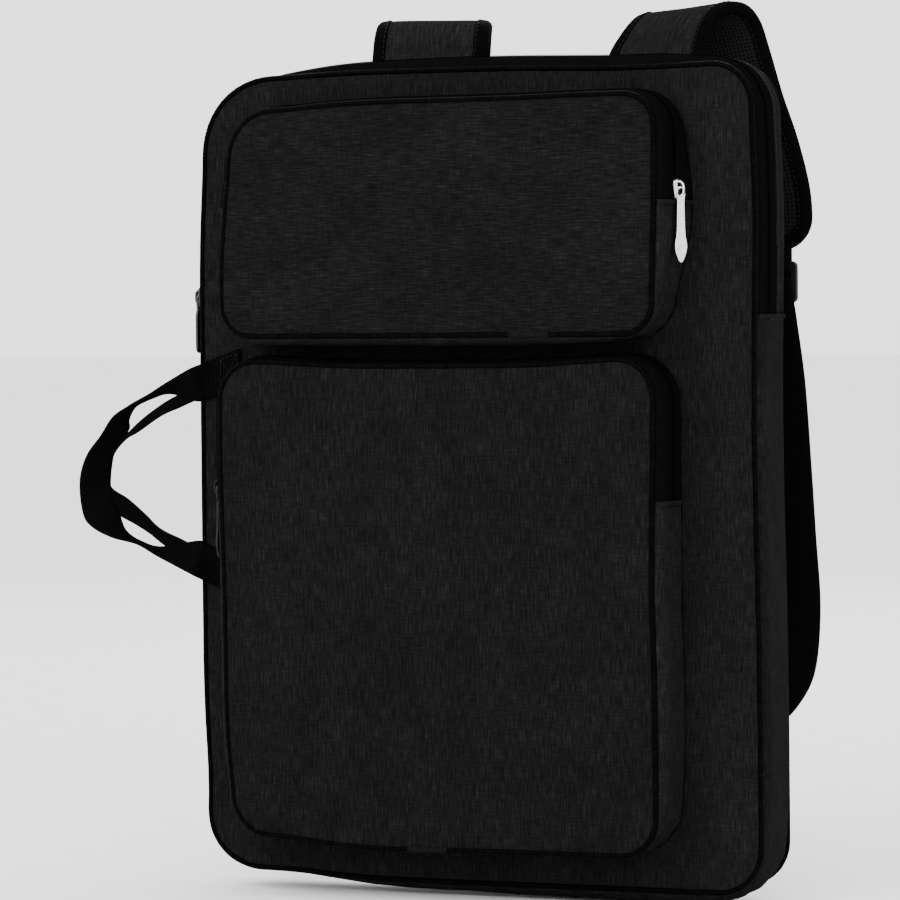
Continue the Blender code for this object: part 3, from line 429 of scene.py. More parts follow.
# lighter copy of the same heather cloth for the pocket walls: painted light laid over their shade
WALL_HEATHER_PAINTED_LIGHT = heather_material("pocket_wall_heather_painted_light", 0.0077)
STRAP_HEATHER = heather_material("strap_cloth", 0.0082)
TAPE = twill_material("zip_tape_cloth", 0.0022, specular=0.0)
BINDING = twill_material("binding_cloth", 0.0014, 0.0011, 0.62, 0.005)
WEBBING = webbing_material("webbing_weave", 0.0017)
CORD = cord_material("piping_cloth", 0.0010)
BACK_MESH = mesh_material("back_spacer_mesh", 0.0032)
LINING = lining_material("lining_nylon", 0.0030)
TEETH = plastic_material("zip_coil_nylon", 0.0012, 0.0)
BUCKLE = plastic_material("buckle_acetal", 0.0040, 0.25)
THREAD = thread_material("sewing_thread", 0.0030)
SILVER = metal_material("silver_pull", 0.78, 0.12, 0.30)
GUNMETAL = metal_material("gunmetal_pull", 0.05, 0.30, 0.45, 1.03)
# darker, rougher copy of the same gunmetal for the lower pocket's slider and pull; the darker colour is
# painted shade
DULL_SHADED_GUNMETAL = metal_material("dull_shaded_gunmetal_pull", 0.022, 0.45, 0.60, 1.03)


POCKETS = {
    "upper_pocket": {
        "seam": around("upper_pocket_face_lower", "upper_pocket_face_upper"),
        "radii": UPPER_RADII, "bodies": ("main_flap", "upper_pocket_flap"),
        "slider": ("upper_slider", "upper_puller", 1.0, SILVER, "silver_metal", 46.0),
        "join": (0.036, 0.061),
        "streaks_up": False, "pulls": UPPER_PULLS,
        "creases": ((0.116, 0.338, 0.0011), (0.1255, 0.372, 0.0006), (-0.138, 0.342, 0.0007)),
        "slack": (0.1255, 0.333, 0.85), "flare": (0.1255, 0.407, 0.0084, 0.042),
        "left_slack": 0.55, "low_slack": 0.0,
    },
    "lower_pocket": {
        "seam": around("lower_pocket_face_lower", "lower_pocket_face_upper"),
        "radii": LOWER_RADII, "bodies": ("case", "lower_pocket_flap"),
        # the lower pocket's slider and pull take the darker gunmetal copy, which is painted shade
        "slider": ("lower_slider", "lower_puller", -1.0, DULL_SHADED_GUNMETAL, "gunmetal", 0.0),
        "join": (-0.030, -0.005),
        "streaks_up": True, "pulls": LOWER_PULLS,
        "creases": ((0.118, 0.042, 0.0011), (-0.135, 0.045, 0.0010), (0.124, 0.180, 0.0005)),
        "slack": (0.124, 0.0325, 0.50), "flare": (0.124, 0.160, 0.0026, 0.130),
        "left_slack": 0.0, "low_slack": 0.80,
    },
}
for pocket_name, pocket_sizes in POCKETS.items():
    pocket_sizes["zip_end"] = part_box(pocket_name + "_gusset")[1].z
    pocket_sizes["hinge"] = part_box(pocket_name + "_face_lower")[1].z


# ---------------------------------------------------------------- mesh helpers
def build(name, points, faces, weave, material, smooth=True):
    """One mesh piece with its fabric coordinates."""
    mesh = bpy.data.meshes.new(name)
    mesh.from_pydata([tuple(p) for p in points], [], faces)
    mesh.polygons.foreach_set("use_smooth", [smooth] * len(mesh.polygons))
    if weave is not None:
        layer = mesh.attributes.new("weave", "FLOAT_VECTOR", "POINT")
        layer.data.foreach_set("vector", np.asarray(weave, np.float32).ravel())
    mesh.materials.append(material)
    piece = bpy.data.objects.new(name, mesh)
    bpy.context.scene.collection.objects.link(piece)
    return piece


def grid_faces(rows, columns, start=0, flip=False, closed=False):
    """Quads over a grid of points numbered row by row."""
    faces = []
    last = columns if closed else columns - 1
    for i in range(rows - 1):
        for j in range(last):
            k = (j + 1) % columns
            quad = (start + i * columns + j, start + i * columns + k,
                    start + (i + 1) * columns + k, start + (i + 1) * columns + j)
            faces.append(quad[::-1] if flip else quad)
    return faces


def shell(name, outer, inner, weave, material, lining=None, flip=False):
    """Closed sheet between an outer and an inner grid of points (rows, columns, 3)."""
    rows, columns = outer.shape[:2]
    count = rows * columns
    faces = grid_faces(rows, columns, 0, flip)
    back = grid_faces(rows, columns, count, not flip)
    border = ([(0, j) for j in range(columns)] + [(i, columns - 1) for i in range(1, rows)]
              + [(rows - 1, j) for j in range(columns - 2, -1, -1)]
              + [(i, 0) for i in range(rows - 2, 0, -1)])
    loop = [i * columns + j for i, j in border]
    rim = []
    for a, b in zip(loop, loop[1:] + loop[:1]):
        quad = (a, a + count, b + count, b)
        rim.append(quad[::-1] if flip else quad)
    points = np.concatenate([outer.reshape(-1, 3), inner.reshape(-1, 3)])
    doubled = np.concatenate([weave.reshape(-1, 3)] * 2)
    piece = build(name, points, faces + rim + back, doubled, material)
    if lining is not None:
        piece.data.materials.append(lining)
        numbers = [0] * (len(faces) + len(rim)) + [1] * len(back)
        piece.data.polygons.foreach_set("material_index", numbers)
    return piece


def corner(cx, cz, radius, start, steps=12):
    angles = [math.radians(start + 90.0 * k / steps) for k in range(steps + 1)]
    return [(cx + radius * math.cos(a), cz + radius * math.sin(a)) for a in angles]


def outline(seam, radii, inset=0.0):
    """Closed outline, counter-clockwise from the left side's lower corner."""
    left, right, bottom, top = (seam[0] + inset, seam[1] - inset, seam[2] + inset,
                                seam[3] - inset)
    a, b, c, d = [max(r - inset, 0.0005) for r in radii]
    return (corner(left + a, bottom + a, a, 180.0) + corner(right - b, bottom + b, b, 270.0)
            + corner(right - c, top - c, c, 0.0) + corner(left + d, top - d, d, 90.0))


def low_path(seam, radii, end):
    """Down the left side from end, along the bottom and up the right side."""
    left, right, bottom = seam[:3]
    return ([(left, end)] + corner(left + radii[0], bottom + radii[0], radii[0], 180.0)
            + corner(right - radii[1], bottom + radii[1], radii[1], 270.0) + [(right, end)])


def high_path(seam, radii, end):
    """Up the right side from end, along the top and down the left side."""
    left, right, top = seam[0], seam[1], seam[3]
    return ([(right, end)] + corner(right - radii[2], top - radii[2], radii[2], 0.0)
            + corner(left + radii[3], top - radii[3], radii[3], 90.0) + [(left, end)])


HEM_STEPS = (0.0003, 0.0008, 0.0015, 0.0022, 0.0027, 0.0031, 0.0036, 0.0042, 0.0048)


def resample(path, spacing, closed=False, hems=False):
    """Even points along a path, with outward normals and the distance along it."""
    points = np.array(path + path[:1] if closed else path, float)
    lengths = np.concatenate([[0.0], np.cumsum(np.linalg.norm(np.diff(points, axis=0), axis=1))])
    count = max(int(round(lengths[-1] / spacing)), 2)
    along = np.linspace(0.0, lengths[-1], count + 1)
    if closed:
        along = along[:-1]
    if hems:
        fine = np.array(HEM_STEPS)
        middle = along[(along > 0.0055) & (along < lengths[-1] - 0.0055)]
        along = np.concatenate([[0.0], fine, middle, lengths[-1] - fine[::-1], [lengths[-1]]])
    where = np.column_stack([np.interp(along, lengths, points[:, k]) for k in range(2)])
    step = spacing * 0.75
    total = lengths[-1]

    def at(value):
        value = np.mod(value, total) if closed else np.clip(value, 0.0, total)
        return np.column_stack([np.interp(value, lengths, points[:, k]) for k in range(2)])

    tangent = at(along + step) - at(along - step)
    tangent /= np.linalg.norm(tangent, axis=1)[:, None]
    normal = np.column_stack([tangent[:, 1], -tangent[:, 0]])
    return where, normal, along


def edge_distance(x, z, seam, radii):
    """Distance inwards from a rounded outline."""
    left, right, bottom, top = seam
    middle_x, middle_z = (left + right) / 2.0, (bottom + top) / 2.0
    a, b, c, d = radii
    radius = np.where(z < middle_z, np.where(x < middle_x, a, b), np.where(x < middle_x, d, c))
    qx = np.abs(x - middle_x) - ((right - left) / 2.0 - radius)
    qz = np.abs(z - middle_z) - ((top - bottom) / 2.0 - radius)
    outside = np.hypot(np.maximum(qx, 0.0), np.maximum(qz, 0.0))
    return np.maximum(radius - outside - np.minimum(np.maximum(qx, qz), 0.0), 0.0)


def rounded_grid(seam, radii, rows, columns, arc_steps=14):
    """Grid of x and z over a rounded rectangle, closest together at its edges."""
    left, right, bottom, top = seam
    a, b, c, d = radii
    low, high = max(a, b), max(c, d)
    turn = np.linspace(0.0, math.pi / 2.0, arc_steps + 1)
    z = np.concatenate([bottom + low * (1.0 - np.cos(turn)),
                        np.linspace(bottom + low, top - high, rows + 2)[1:-1],
                        top - high * (1.0 - np.cos(turn[::-1]))])

    def reach(radius_low, radius_high):
        into_low = np.clip(bottom + radius_low - z, 0.0, radius_low)
        into_high = np.clip(z - (top - radius_high), 0.0, radius_high)
        return (radius_low - np.sqrt(radius_low ** 2 - into_low ** 2)
                + radius_high - np.sqrt(radius_high ** 2 - into_high ** 2))

    x_left = left + reach(a, d)
    x_right = right - reach(b, c)
    t = np.linspace(0.0, 1.0, columns)
    t = t + (0.5 - 0.5 * np.cos(math.pi * t) - t) * 0.75
    x = x_left[:, None] * (1.0 - t)[None, :] + x_right[:, None] * t[None, :]
    return x, np.repeat(z[:, None], columns, axis=1)


def ripple(x, z, scale, seed):
    """Soft unevenness between -1 and 1 at each point."""
    flat = [noise.noise(Vector((a * scale, b * scale, seed))) for a, b in zip(x.ravel(), z.ravel())]
    return np.array(flat).reshape(x.shape)


def roll(distance, reach):
    """0 at a seam, rising round to 1 at a distance inside it."""
    t = np.clip(distance / reach, 0.0, 1.0)
    return np.sqrt(1.0 - (1.0 - t) ** 2)


def panel(name, seam, radii, seam_y, facing, heights, thickness, material, lining,
          rows, columns, streaks_up=True, waves=(0.0006, 0.0)):
    """Padded panel: rolls up from its seam, crowns in the middle and ripples a little.

    facing is -1 for a front and +1 for a back; heights are (edge, rolled, crown).
    """
    inset = 0.0011
    shape = (seam[0] + inset, seam[1] - inset, seam[2] + inset, seam[3] - inset)
    round_off = [r - inset for r in radii]
    x, z = rounded_grid(shape, round_off, rows, columns)
    inside = edge_distance(x, z, shape, round_off)
    edge, rolled, crown = heights
    half = min(shape[1] - shape[0], shape[3] - shape[2]) / 2.0
    height = edge + rolled * roll(inside, 0.007) + crown * (1.0 - (1.0 - inside / half) ** 2)
    fade = np.clip(inside / 0.02, 0.0, 1.0)
    height = height + fade * waves[0] * (ripple(x, z, 14.0, waves[1])
                                         + 0.5 * ripple(x, z, 37.0, waves[1] + 5.0))
    pucker = np.exp(-inside / 0.006) * 0.00035
    height = height + pucker * ripple(x, z, 160.0, waves[1] + 9.0)
    depth = thickness * (0.25 + 0.75 * roll(inside, 0.010))
    outer = np.stack([x, seam_y + facing * height, z], axis=-1)
    inner = np.stack([x, seam_y + facing * (height - depth), z], axis=-1)
    weave = np.stack([x, z, x * 0.0] if streaks_up else [z, x, x * 0.0], axis=-1)
    return shell(name, outer, inner, weave, material, lining, flip=facing > 0)


def reshape(piece, pulls):
    """Shift the outline where the sewing pulls it off line."""
    points = np.array([vertex.co for vertex in piece.data.vertices])
    shift = points * 0.0
    for (x, z), (dx, dz), spread in pulls:
        weight = np.exp(-((points[:, 0] - x) ** 2 + (points[:, 2] - z) ** 2) / (2.0 * spread ** 2))
        shift[:, 0] += weight * dx
        shift[:, 2] += weight * dz
    piece.data.vertices.foreach_set("co", (points + shift).ravel())
    return piece


def follow(piece, pulls):
    """Carry a rigid piece along with the cloth that it sits on."""
    points = np.array([vertex.co for vertex in piece.data.vertices])
    middle = points.mean(axis=0)
    shift = Vector((0.0, 0.0, 0.0))
    for (x, z), (dx, dz), spread in pulls:
        weight = math.exp(-((middle[0] - x) ** 2 + (middle[2] - z) ** 2) / (2.0 * spread ** 2))
        shift += Vector((weight * dx, 0.0, weight * dz))
    piece.data.transform(Matrix.Translation(shift))
    return piece


def wall(name, path, profile, material, thickness=0.0012, spacing=0.0025, ripples=0.0005,
         hems=False, lining=LINING, seed=0.0, shape=None, creases=(), flare=None):
    """Side wall swept along a path in x and z; profile is (y, outwards) pairs."""
    where, normal, along = resample(path, spacing, False, hems)
    y = np.array([p[0] for p in profile])
    out = np.array([p[1] for p in profile])
    count = len(along)
    lift = np.repeat(out[None, :], count, axis=0)
    if shape is not None:
        lift = lift * shape(where)[:, None]
    grid_along = np.repeat(along[:, None], len(y), axis=1)
    grid_y = np.repeat(y[None, :], count, axis=0)
    middle = np.sin(np.linspace(0.0, math.pi, len(y)))[None, :]
    lift = lift + ripples * middle * (ripple(grid_along, grid_y, 26.0, seed)
                                      + 0.6 * ripple(grid_along, grid_y, 75.0, seed + 3.0))
    for x, z, height in creases:
        away = (where[:, 0] - x) ** 2 + (where[:, 1] - z) ** 2
        near = np.exp(-away / CREASE_REACH ** 2)[:, None]
        wave = np.sin(math.tau * (grid_along / CREASE_PITCH + grid_y / CREASE_SLANT)
                      + 2.0 * ripple(grid_along, grid_y, 60.0, seed + 8.0))
        lift = lift - height * near * middle * (0.6 - wave)
    if flare is not None:
        x, z, amount, spread = flare
        near = np.exp(-((where[:, 0] - x) ** 2 + (where[:, 1] - z) ** 2) / spread ** 2)[:, None]
        lift = lift + amount * near * np.clip((grid_y - POCKET_CLOSURE_Y) / FLARE_DEPTH, 0.0, 1.0)
    inner_lift = lift - thickness
    if hems:
        distance = np.minimum(along, along[-1] - along)
        fold = np.interp(distance, (0.0,) + HEM_STEPS, HEM_LIFTS)
        lift = lift + fold[:, None]

    def place(amount):
        px = where[:, None, 0] + normal[:, None, 0] * amount
        pz = where[:, None, 1] + normal[:, None, 1] * amount
        return np.stack([px, grid_y, pz], axis=-1)

    weave = np.stack([grid_y, grid_along, grid_y * 0.0], axis=-1)
    return shell(name, place(lift), place(inner_lift), weave, material, lining)


def hem_stitches(path, profile, first, last):
    """Stitches across both hems of a wall."""
    where, normal, along = resample(path, 0.0025, False, True)
    hem = HEM_STEPS.index(HEM_STITCH) + 1
    spots = []
    kept = [(y, out) for y, out in profile if first <= y <= last]
    for row in (hem, len(along) - 1 - hem):
        line = [(where[row, 0] + normal[row, 0] * (out - 0.0001), y,
                 where[row, 1] + normal[row, 1] * (out - 0.0001)) for y, out in kept]
        spots += stitch_line(line, [(normal[row, 0], 0.0, normal[row, 1])] * len(line), 0.0030)
    return spots


def curve_y(first, last, count):
    """Depths closer together towards both ends."""
    t = np.linspace(0.0, 1.0, count)
    t = t + (0.5 - 0.5 * np.cos(math.pi * t) - t) * 0.6
    return first + (last - first) * t


def case_lift(y):
    """How far the case's side wall stands out of its seams at a depth."""
    return CASE_BULGE * float(roll(CASE_SEAM_Y - abs(y), CASE_REACH))


def case_profile(first, last, count):
    """Wall of the case: rounds out from both of its piped seams."""
    return [(y, case_lift(y)) for y in curve_y(first, last, count)]


def pocket_lift(y):
    """How far a pocket's side wall stands out of its piping at a depth."""
    return POCKET_BULGE * float(roll(y - POCKET_SEAM_Y, POCKET_REACH))


def pocket_profile(first, last, count):
    """Wall of a pocket: rounds out from its piping and dips under where it is sewn down."""
    return [(y, pocket_lift(y) - SEWN_DIP * min(max((y - SEWN_DIP_Y) / 0.004, 0.0), 1.0) ** 1.5)
            for y in curve_y(first, last, count)]


def tube(name, path, y, radius, closed, material, sides=10, spacing=0.0022, seed=0.0):
    """Piping cord along a seam."""
    where, normal, along = resample(path, spacing, closed)
    angles = np.linspace(0.0, math.tau, sides, endpoint=False)
    swell = 1.0 + 0.05 * ripple(along[:, None], along[:, None] * 0.0, 120.0, seed)
    points, weave = [], []
    for k in range(len(along)):
        r = radius * swell[k, 0]
        for a in angles:
            out = r * math.cos(a)
            points.append((where[k, 0] + normal[k, 0] * out, y + r * math.sin(a),
                           where[k, 1] + normal[k, 1] * out))
            weave.append((along[k], a * radius, 0.0))
    rows = len(along)
    faces = grid_faces(rows, sides, 0, True, True)
    if closed:
        faces += [((rows - 1) * sides + j, j, (j + 1) % sides, (rows - 1) * sides + (j + 1) % sides)
                  for j in range(sides)]
    else:
        faces += [tuple(range(sides)),
                  tuple((rows - 1) * sides + j for j in reversed(range(sides)))]
    return build(name, points, faces, weave, material)


def seed_shape(sides=6, rings=4):
    """Small rounded bar with unit half sizes: its points and faces."""
    points = [(0.0, -1.0, 0.0)]
    for k in range(1, rings):
        lat = math.pi * k / rings - math.pi / 2.0
        for j in range(sides):
            lon = math.tau * j / sides
            points.append((math.cos(lat) ** 0.6 * math.cos(lon), math.sin(lat),
                           math.cos(lat) ** 0.6 * math.sin(lon)))
    points.append((0.0, 1.0, 0.0))
    faces = [(0, 1 + (j + 1) % sides, 1 + j) for j in range(sides)]
    for k in range(rings - 2):
        base = 1 + k * sides
        for j in range(sides):
            n = (j + 1) % sides
            faces.append((base + j, base + n, base + sides + n, base + sides + j))
    top = 1 + (rings - 1) * sides
    base = top - sides
    faces += [(base + j, base + (j + 1) % sides, top) for j in range(sides)]
    return np.array(points), faces


def scatter(name, spots, half_sizes, material):
    """Many small rounded bars; each spot is (centre, side, along, up) with along its length."""
    shape_points, shape_faces = seed_shape()
    size = np.array(half_sizes)
    points, faces = [], []
    for number, (centre, side, along, up) in enumerate(spots):
        basis = np.array([side, along, up], float)
        points.append(np.array(centre, float) + (shape_points * size) @ basis)
        base = number * len(shape_points)
        faces.extend(tuple(base + index for index in face) for face in shape_faces)
    joined = np.concatenate(points)
    return build(name, joined, faces, joined, material)


def zip_teeth(name, path, lift_at, closure_y, side, material, shape=None):
    """One row of coil turns along a zip; side is -1 for the front row and +1 for the rear."""
    pitch = 0.0015
    where, normal, along = resample(path, pitch)
    spots = []
    centre_y = closure_y + side * 0.00105
    factor = np.ones(len(along)) if shape is None else shape(where)
    for k in range(1, len(along) - 1):
        tangent = (-normal[k, 1], normal[k, 0])
        offset = pitch * 0.25 * side
        lift = lift_at(centre_y) * factor[k] + 0.0004
        spot = (where[k, 0] + normal[k, 0] * lift + tangent[0] * offset, centre_y,
                where[k, 1] + normal[k, 1] * lift + tangent[1] * offset)
        spots.append((spot, (tangent[0], 0.0, tangent[1]), (0.0, 1.0, 0.0),
                      (normal[k, 0], 0.0, normal[k, 1])))
    return scatter(name, spots, (0.00040, 0.00125, 0.00055), material)


def stitch_line(points, ups, pitch=0.0032):
    """Spots for a row of stitches along a 3-D line lying on a surface."""
    points = np.array(points, float)
    ups = np.array(ups, float)
    lengths = np.concatenate([[0.0], np.cumsum(np.linalg.norm(np.diff(points, axis=0), axis=1))])
    count = max(int(lengths[-1] / pitch), 1)
    centres = (np.arange(count) + 0.5) * lengths[-1] / count
    spots = []
    for value in centres:
        here = np.array([np.interp(value, lengths, points[:, k]) for k in range(3)])
        ahead = np.array([np.interp(min(value + pitch * 0.3, lengths[-1]), lengths, points[:, k])
                          for k in range(3)])
        behind = np.array([np.interp(max(value - pitch * 0.3, 0.0), lengths, points[:, k])
                           for k in range(3)])
        up = np.array([np.interp(value, lengths, ups[:, k]) for k in range(3)])
        along = (ahead - behind) / max(np.linalg.norm(ahead - behind), 1e-9)
        up = up - along * (up @ along)
        up /= max(np.linalg.norm(up), 1e-9)
        spots.append((here, np.cross(along, up), along, up))
    return spots


STITCH = (0.00028, 0.00125, 0.00024)


def smooth_rows(rows, steps):
    """Catmull-Rom curve through rows of numbers, with its end tangents held."""
    padded = [rows[0]] + list(rows) + [rows[-1]]
    result = []
    for index in range(len(rows) - 1):
        before, start, end, after = [Vector(row) for row in padded[index:index + 4]]
        for step in range(steps):
            t = step / steps
            result.append(0.5 * (2.0 * start + (end - before) * t
                                 + (2.0 * before - 5.0 * start + 4.0 * end - after) * t ** 2
                                 + (3.0 * start - before - 3.0 * end + after) * t ** 3))
    result.append(Vector(rows[-1]))
    return result


class Track:
    """Smooth route with a width direction: gives the frame at any distance along it."""

    def __init__(self, route, steps=10, square=True):
        self.places = np.array([tuple(v) for v in smooth_rows([p for p, a in route], steps)])
        across = np.array([tuple(v) for v in smooth_rows([a for p, a in route], steps)])
        gaps = np.linalg.norm(np.diff(self.places, axis=0), axis=1)
        self.lengths = np.concatenate([[0.0], np.cumsum(gaps)])
        self.length = float(self.lengths[-1])
        along = np.gradient(self.places, self.lengths + np.arange(len(gaps) + 1) * 1e-9, axis=0)
        along /= np.linalg.norm(along, axis=1)[:, None]
        if square:
            across = across - along * (across * along).sum(axis=1)[:, None]
            across /= np.linalg.norm(across, axis=1)[:, None]
        self.across = across
        up = np.cross(along, across)
        self.up = up / np.linalg.norm(up, axis=1)[:, None]

    def frame(self, distance):
        def pick(table):
            return np.array([np.interp(distance, self.lengths, table[:, k]) for k in range(3)])
        up = pick(self.up)
        return pick(self.places), pick(self.across), up / np.linalg.norm(up)

    def point(self, distance, sideways, height):
        place, across, up = self.frame(distance)
        return place + across * sideways + up * height


def band(name, track, width, thickness, material, spacing=0.0022, start=0.0, end=None):
    """Flat webbing along a track, with rounded selvedges."""
    end = track.length if end is None else end
    half, thick = width / 2.0, thickness / 2.0
    side = np.linspace(-1.0, 1.0, 9)
    edge = thick * np.sqrt(np.clip(1.0 - np.abs(side) ** 10, 0.12, 1.0))
    section = ([(s * half, e) for s, e in zip(side, edge)]
               + [(s * half, -e) for s, e in zip(side[::-1], edge[::-1])])
    rows = max(int((end - start) / spacing), 3)
    points, weave = [], []
    for distance in np.linspace(start, end, rows + 1):
        place, across, up = track.frame(distance)
        for sideways, height in section:
            points.append(place + across * sideways + up * height)
            weave.append((distance, sideways, 0.0))
    count = len(section)
    faces = grid_faces(rows + 1, count, 0, True, True)
    faces += [tuple(range(count)), tuple(rows * count + j for j in reversed(range(count)))]
    return build(name, points, faces, weave, material)


def box_stitch(track, start, end, half, height):
    """Rectangle and cross of stitches on one face of a band."""
    up = track.frame((start + end) / 2.0)[2] * (1.0 if height > 0 else -1.0)
    corners = [(start, -half), (end, -half), (end, half), (start, half), (start, -half)]
    lines = list(zip(corners, corners[1:])) + [((start, -half), (end, half)),
                                               ((start, half), (end, -half))]
    spots = []
    for (a, b), (c, d) in lines:
        line = [track.point(a + (c - a) * t, b + (d - b) * t, height) for t in np.linspace(0, 1, 8)]
        spots += stitch_line(line, [up] * 8, 0.0026)
    return spots


def plate(name, outlines, thickness, bevel, place, material):
    """Flat plate with rounded edges; its outlines are in the plate's own x and y."""
    data = bpy.data.curves.new(name + "_outline", "CURVE")
    data.dimensions = "2D"
    data.fill_mode = "BOTH"
    for points in outlines:
        spline = data.splines.new("POLY")
        spline.points.add(len(points) - 1)
        for target, point in zip(spline.points, points):
            target.co = (point[0], point[1], 0.0, 1.0)
        spline.use_cyclic_u = True
    data.extrude = thickness / 2.0 - bevel
    data.bevel_depth = bevel
    data.bevel_resolution = 2
    data.offset = -bevel
    source = bpy.data.objects.new(name + "_source", data)
    bpy.context.scene.collection.objects.link(source)
    graph = bpy.context.evaluated_depsgraph_get()
    mesh = bpy.data.meshes.new_from_object(source.evaluated_get(graph))
    bpy.data.objects.remove(source)
    mesh.name = name
    mesh.materials.clear()
    mesh.materials.append(material)
    mesh.transform(place)
    piece = bpy.data.objects.new(name, mesh)
    bpy.context.scene.collection.objects.link(piece)
    return piece


def merge(name, pieces):
    """Join pieces into the first and name it."""
    bpy.ops.object.select_all(action="DESELECT")
    for piece in pieces:
        piece.select_set(True)
    bpy.context.view_layer.objects.active = pieces[0]
    bpy.ops.object.join()
    pieces[0].name = name
    pieces[0].data.name = name
    return pieces[0]


def ellipse(cx, cy, rx, ry, count=28):
    return [(cx + rx * math.cos(math.tau * k / count), cy + ry * math.sin(math.tau * k / count))
            for k in range(count)]


def facing_matrix(origin, x_axis, y_axis):
    """Placement whose x and y axes are given; z is their cross product."""
    x_axis, y_axis = Vector(x_axis).normalized(), Vector(y_axis).normalized()
    z_axis = x_axis.cross(y_axis)
    matrix = Matrix((x_axis, y_axis, z_axis)).transposed().to_4x4()
    matrix.translation = Vector(origin)
    return matrix


def attach(piece, pulls, hang, *nodes):
    """Draw a piece into shape, hang it on what carries it and hide the CAD nodes it stands for."""
    hang(reshape(piece, pulls))
    if nodes:
        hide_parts(*nodes)


# ---------------------------------------------------------------- case
def ride_case(piece):
    """Whatever is fixed to the case itself."""
    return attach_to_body(piece, "case")


def blend_main(piece):
    """Cloth over the fold between the pockets: bakes the piece's placement into its mesh."""
    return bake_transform(piece)


def blend_zip_end(piece):
    """Cloth beside the main zip's lower ends, from the zip end to the fold: bakes the piece's placement
    into its mesh.
    """
    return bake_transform(piece)


def case_shape(where):
    """How full the side wall is: slack at three corners and along the bottom, full on top."""
    x, z = where[:, 0], where[:, 1]
    top_left = np.exp(-((x + 0.170) ** 2 + (z - 0.485) ** 2) / 0.058 ** 2)
    low_left = np.exp(-((x + 0.165) ** 2 + (z - 0.010) ** 2) / 0.085 ** 2)
    low_right = np.exp(-((x - 0.174) ** 2 + (z - 0.013) ** 2) / 0.034 ** 2)
    bottom = np.clip((0.060 - z) / 0.05, 0.0, 1.0) * np.clip((0.150 - x) / 0.15, 0.0, 1.0)
    top = np.clip((z - 0.470) / 0.02, 0.0, 1.0) * np.clip((x + 0.165) / 0.02, 0.0, 1.0)
    top = top * np.clip((0.145 - x) / 0.03, 0.0, 1.0)
    rise = top * (0.30 + 0.10 * np.clip((x + 0.06) / 0.05, 0.0, 1.0))
    slack = 0.88 * top_left + 0.62 * low_left + 0.34 * low_right + 0.26 * bottom
    return np.clip(1.0 - slack, 0.08, 1.0) + rise


def make_case():
    """Covers, side wall, zip, piping and stitching of the case."""
    # the front cover takes the lighter heather copy, which is painted light
    front = panel("front_cover", CASE, CASE_RADII, -CASE_SEAM_Y, -1.0, (0.0004, 0.0004, 0.0006),
                  0.0062, FRONT_HEATHER_PAINTED_LIGHT, LINING, 150, 96, True, (0.0003, 1.0))
    reshape(front, CASE_PULLS)
    blend_main(front)
    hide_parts("front_panel_lower", "front_panel_upper", "front_foam_lower",
                "front_foam_upper")
    back = panel("back_cover", CASE, CASE_RADII, CASE_SEAM_Y, 1.0, (0.0004, 0.0006, 0.0004),
                 0.0062, BACK_MESH, LINING, 120, 84, True, (0.0003, 2.0))
    reshape(back, CASE_PULLS)
    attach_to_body(back, "case")
    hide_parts("back_panel", "back_foam")

    side = (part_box("gusset_lower")[0].x + CASE_BULGE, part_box("gusset_lower")[1].x - CASE_BULGE,
            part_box("gusset_lower")[0].z + CASE_BULGE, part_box("gusset_rear_strip")[1].z - CASE_BULGE)
    zip_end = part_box("gusset_lower")[1].z
    edge = CASE_SEAM_Y - 0.0004
    low = low_path(side, CASE_RADII, zip_end)
    high = high_path(side, CASE_RADII, zip_end)

    low_profile = case_profile(-edge, edge, 25)
    side_wall = wall("side_wall", low, low_profile, HEATHER, hems=True,
                     seed=11.0, ripples=0.0006, shape=case_shape,
                     creases=((0.168, 0.015, 0.0008), (-0.150, 0.012, 0.0006)))
    blend_zip_end(reshape(side_wall, CASE_PULLS))
    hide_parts("gusset_lower")
    strip_profile = case_profile(STRIP_Y, edge, 12)
    strip = wall("rear_strip", high, strip_profile, HEATHER, seed=12.0,
                 ripples=0.0004, shape=case_shape)
    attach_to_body(reshape(strip, CASE_PULLS), "case")
    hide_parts("gusset_rear_strip")
    tapes = (("rear", case_profile(MAIN_CLOSURE_Y + TAPE_GAP, STRIP_Y + 0.0015, 8), ride_case),
             ("front", case_profile(-edge, MAIN_CLOSURE_Y - TAPE_GAP, 11), blend_zip_end))
    for row, profile, hang in tapes:
        tape = wall("main_tape_" + row, high, profile, TAPE, thickness=TAPE_THICK,
                    seed=13.0, ripples=0.0002, shape=case_shape)
        attach(tape, CASE_PULLS, hang, "main_zip_tape_" + row)
    for row, turn, hang in (("rear", 1.0, ride_case), ("front", -1.0, blend_zip_end)):
        teeth = zip_teeth("main_teeth_" + row, high, case_lift, MAIN_CLOSURE_Y, turn, TEETH,
                          case_shape)
        attach(teeth, CASE_PULLS, hang, "main_zip_coil_" + row)

    seam = outline(CASE, CASE_RADII)
    front_cord = tube("front_cord", seam, -CASE_SEAM_Y, PIPING_RADIUS, True, CORD,
                      seed=4.0)
    attach(front_cord, CASE_PULLS, blend_main, "front_piping_lower", "front_piping_upper")
    back_cord = tube("back_cord", seam, CASE_SEAM_Y, PIPING_RADIUS, True, CORD, seed=5.0)
    attach(back_cord, CASE_PULLS, ride_case, "back_piping")

    where, normal, _ = resample(high, 0.004)
    y = STRIP_Y + 0.0032
    lift = case_lift(y) * case_shape(where) + 0.0002
    points = np.stack([where[:, 0] + normal[:, 0] * lift, where[:, 0] * 0.0 + y,
                       where[:, 1] + normal[:, 1] * lift], axis=-1)
    ups = np.stack([normal[:, 0], normal[:, 0] * 0.0, normal[:, 1]], axis=-1)
    sewing = stitch_line(points, ups) + hem_stitches(low, low_profile, -0.010, 0.022)
    attach(scatter("case_stitching", sewing, STITCH, THREAD), CASE_PULLS, ride_case)


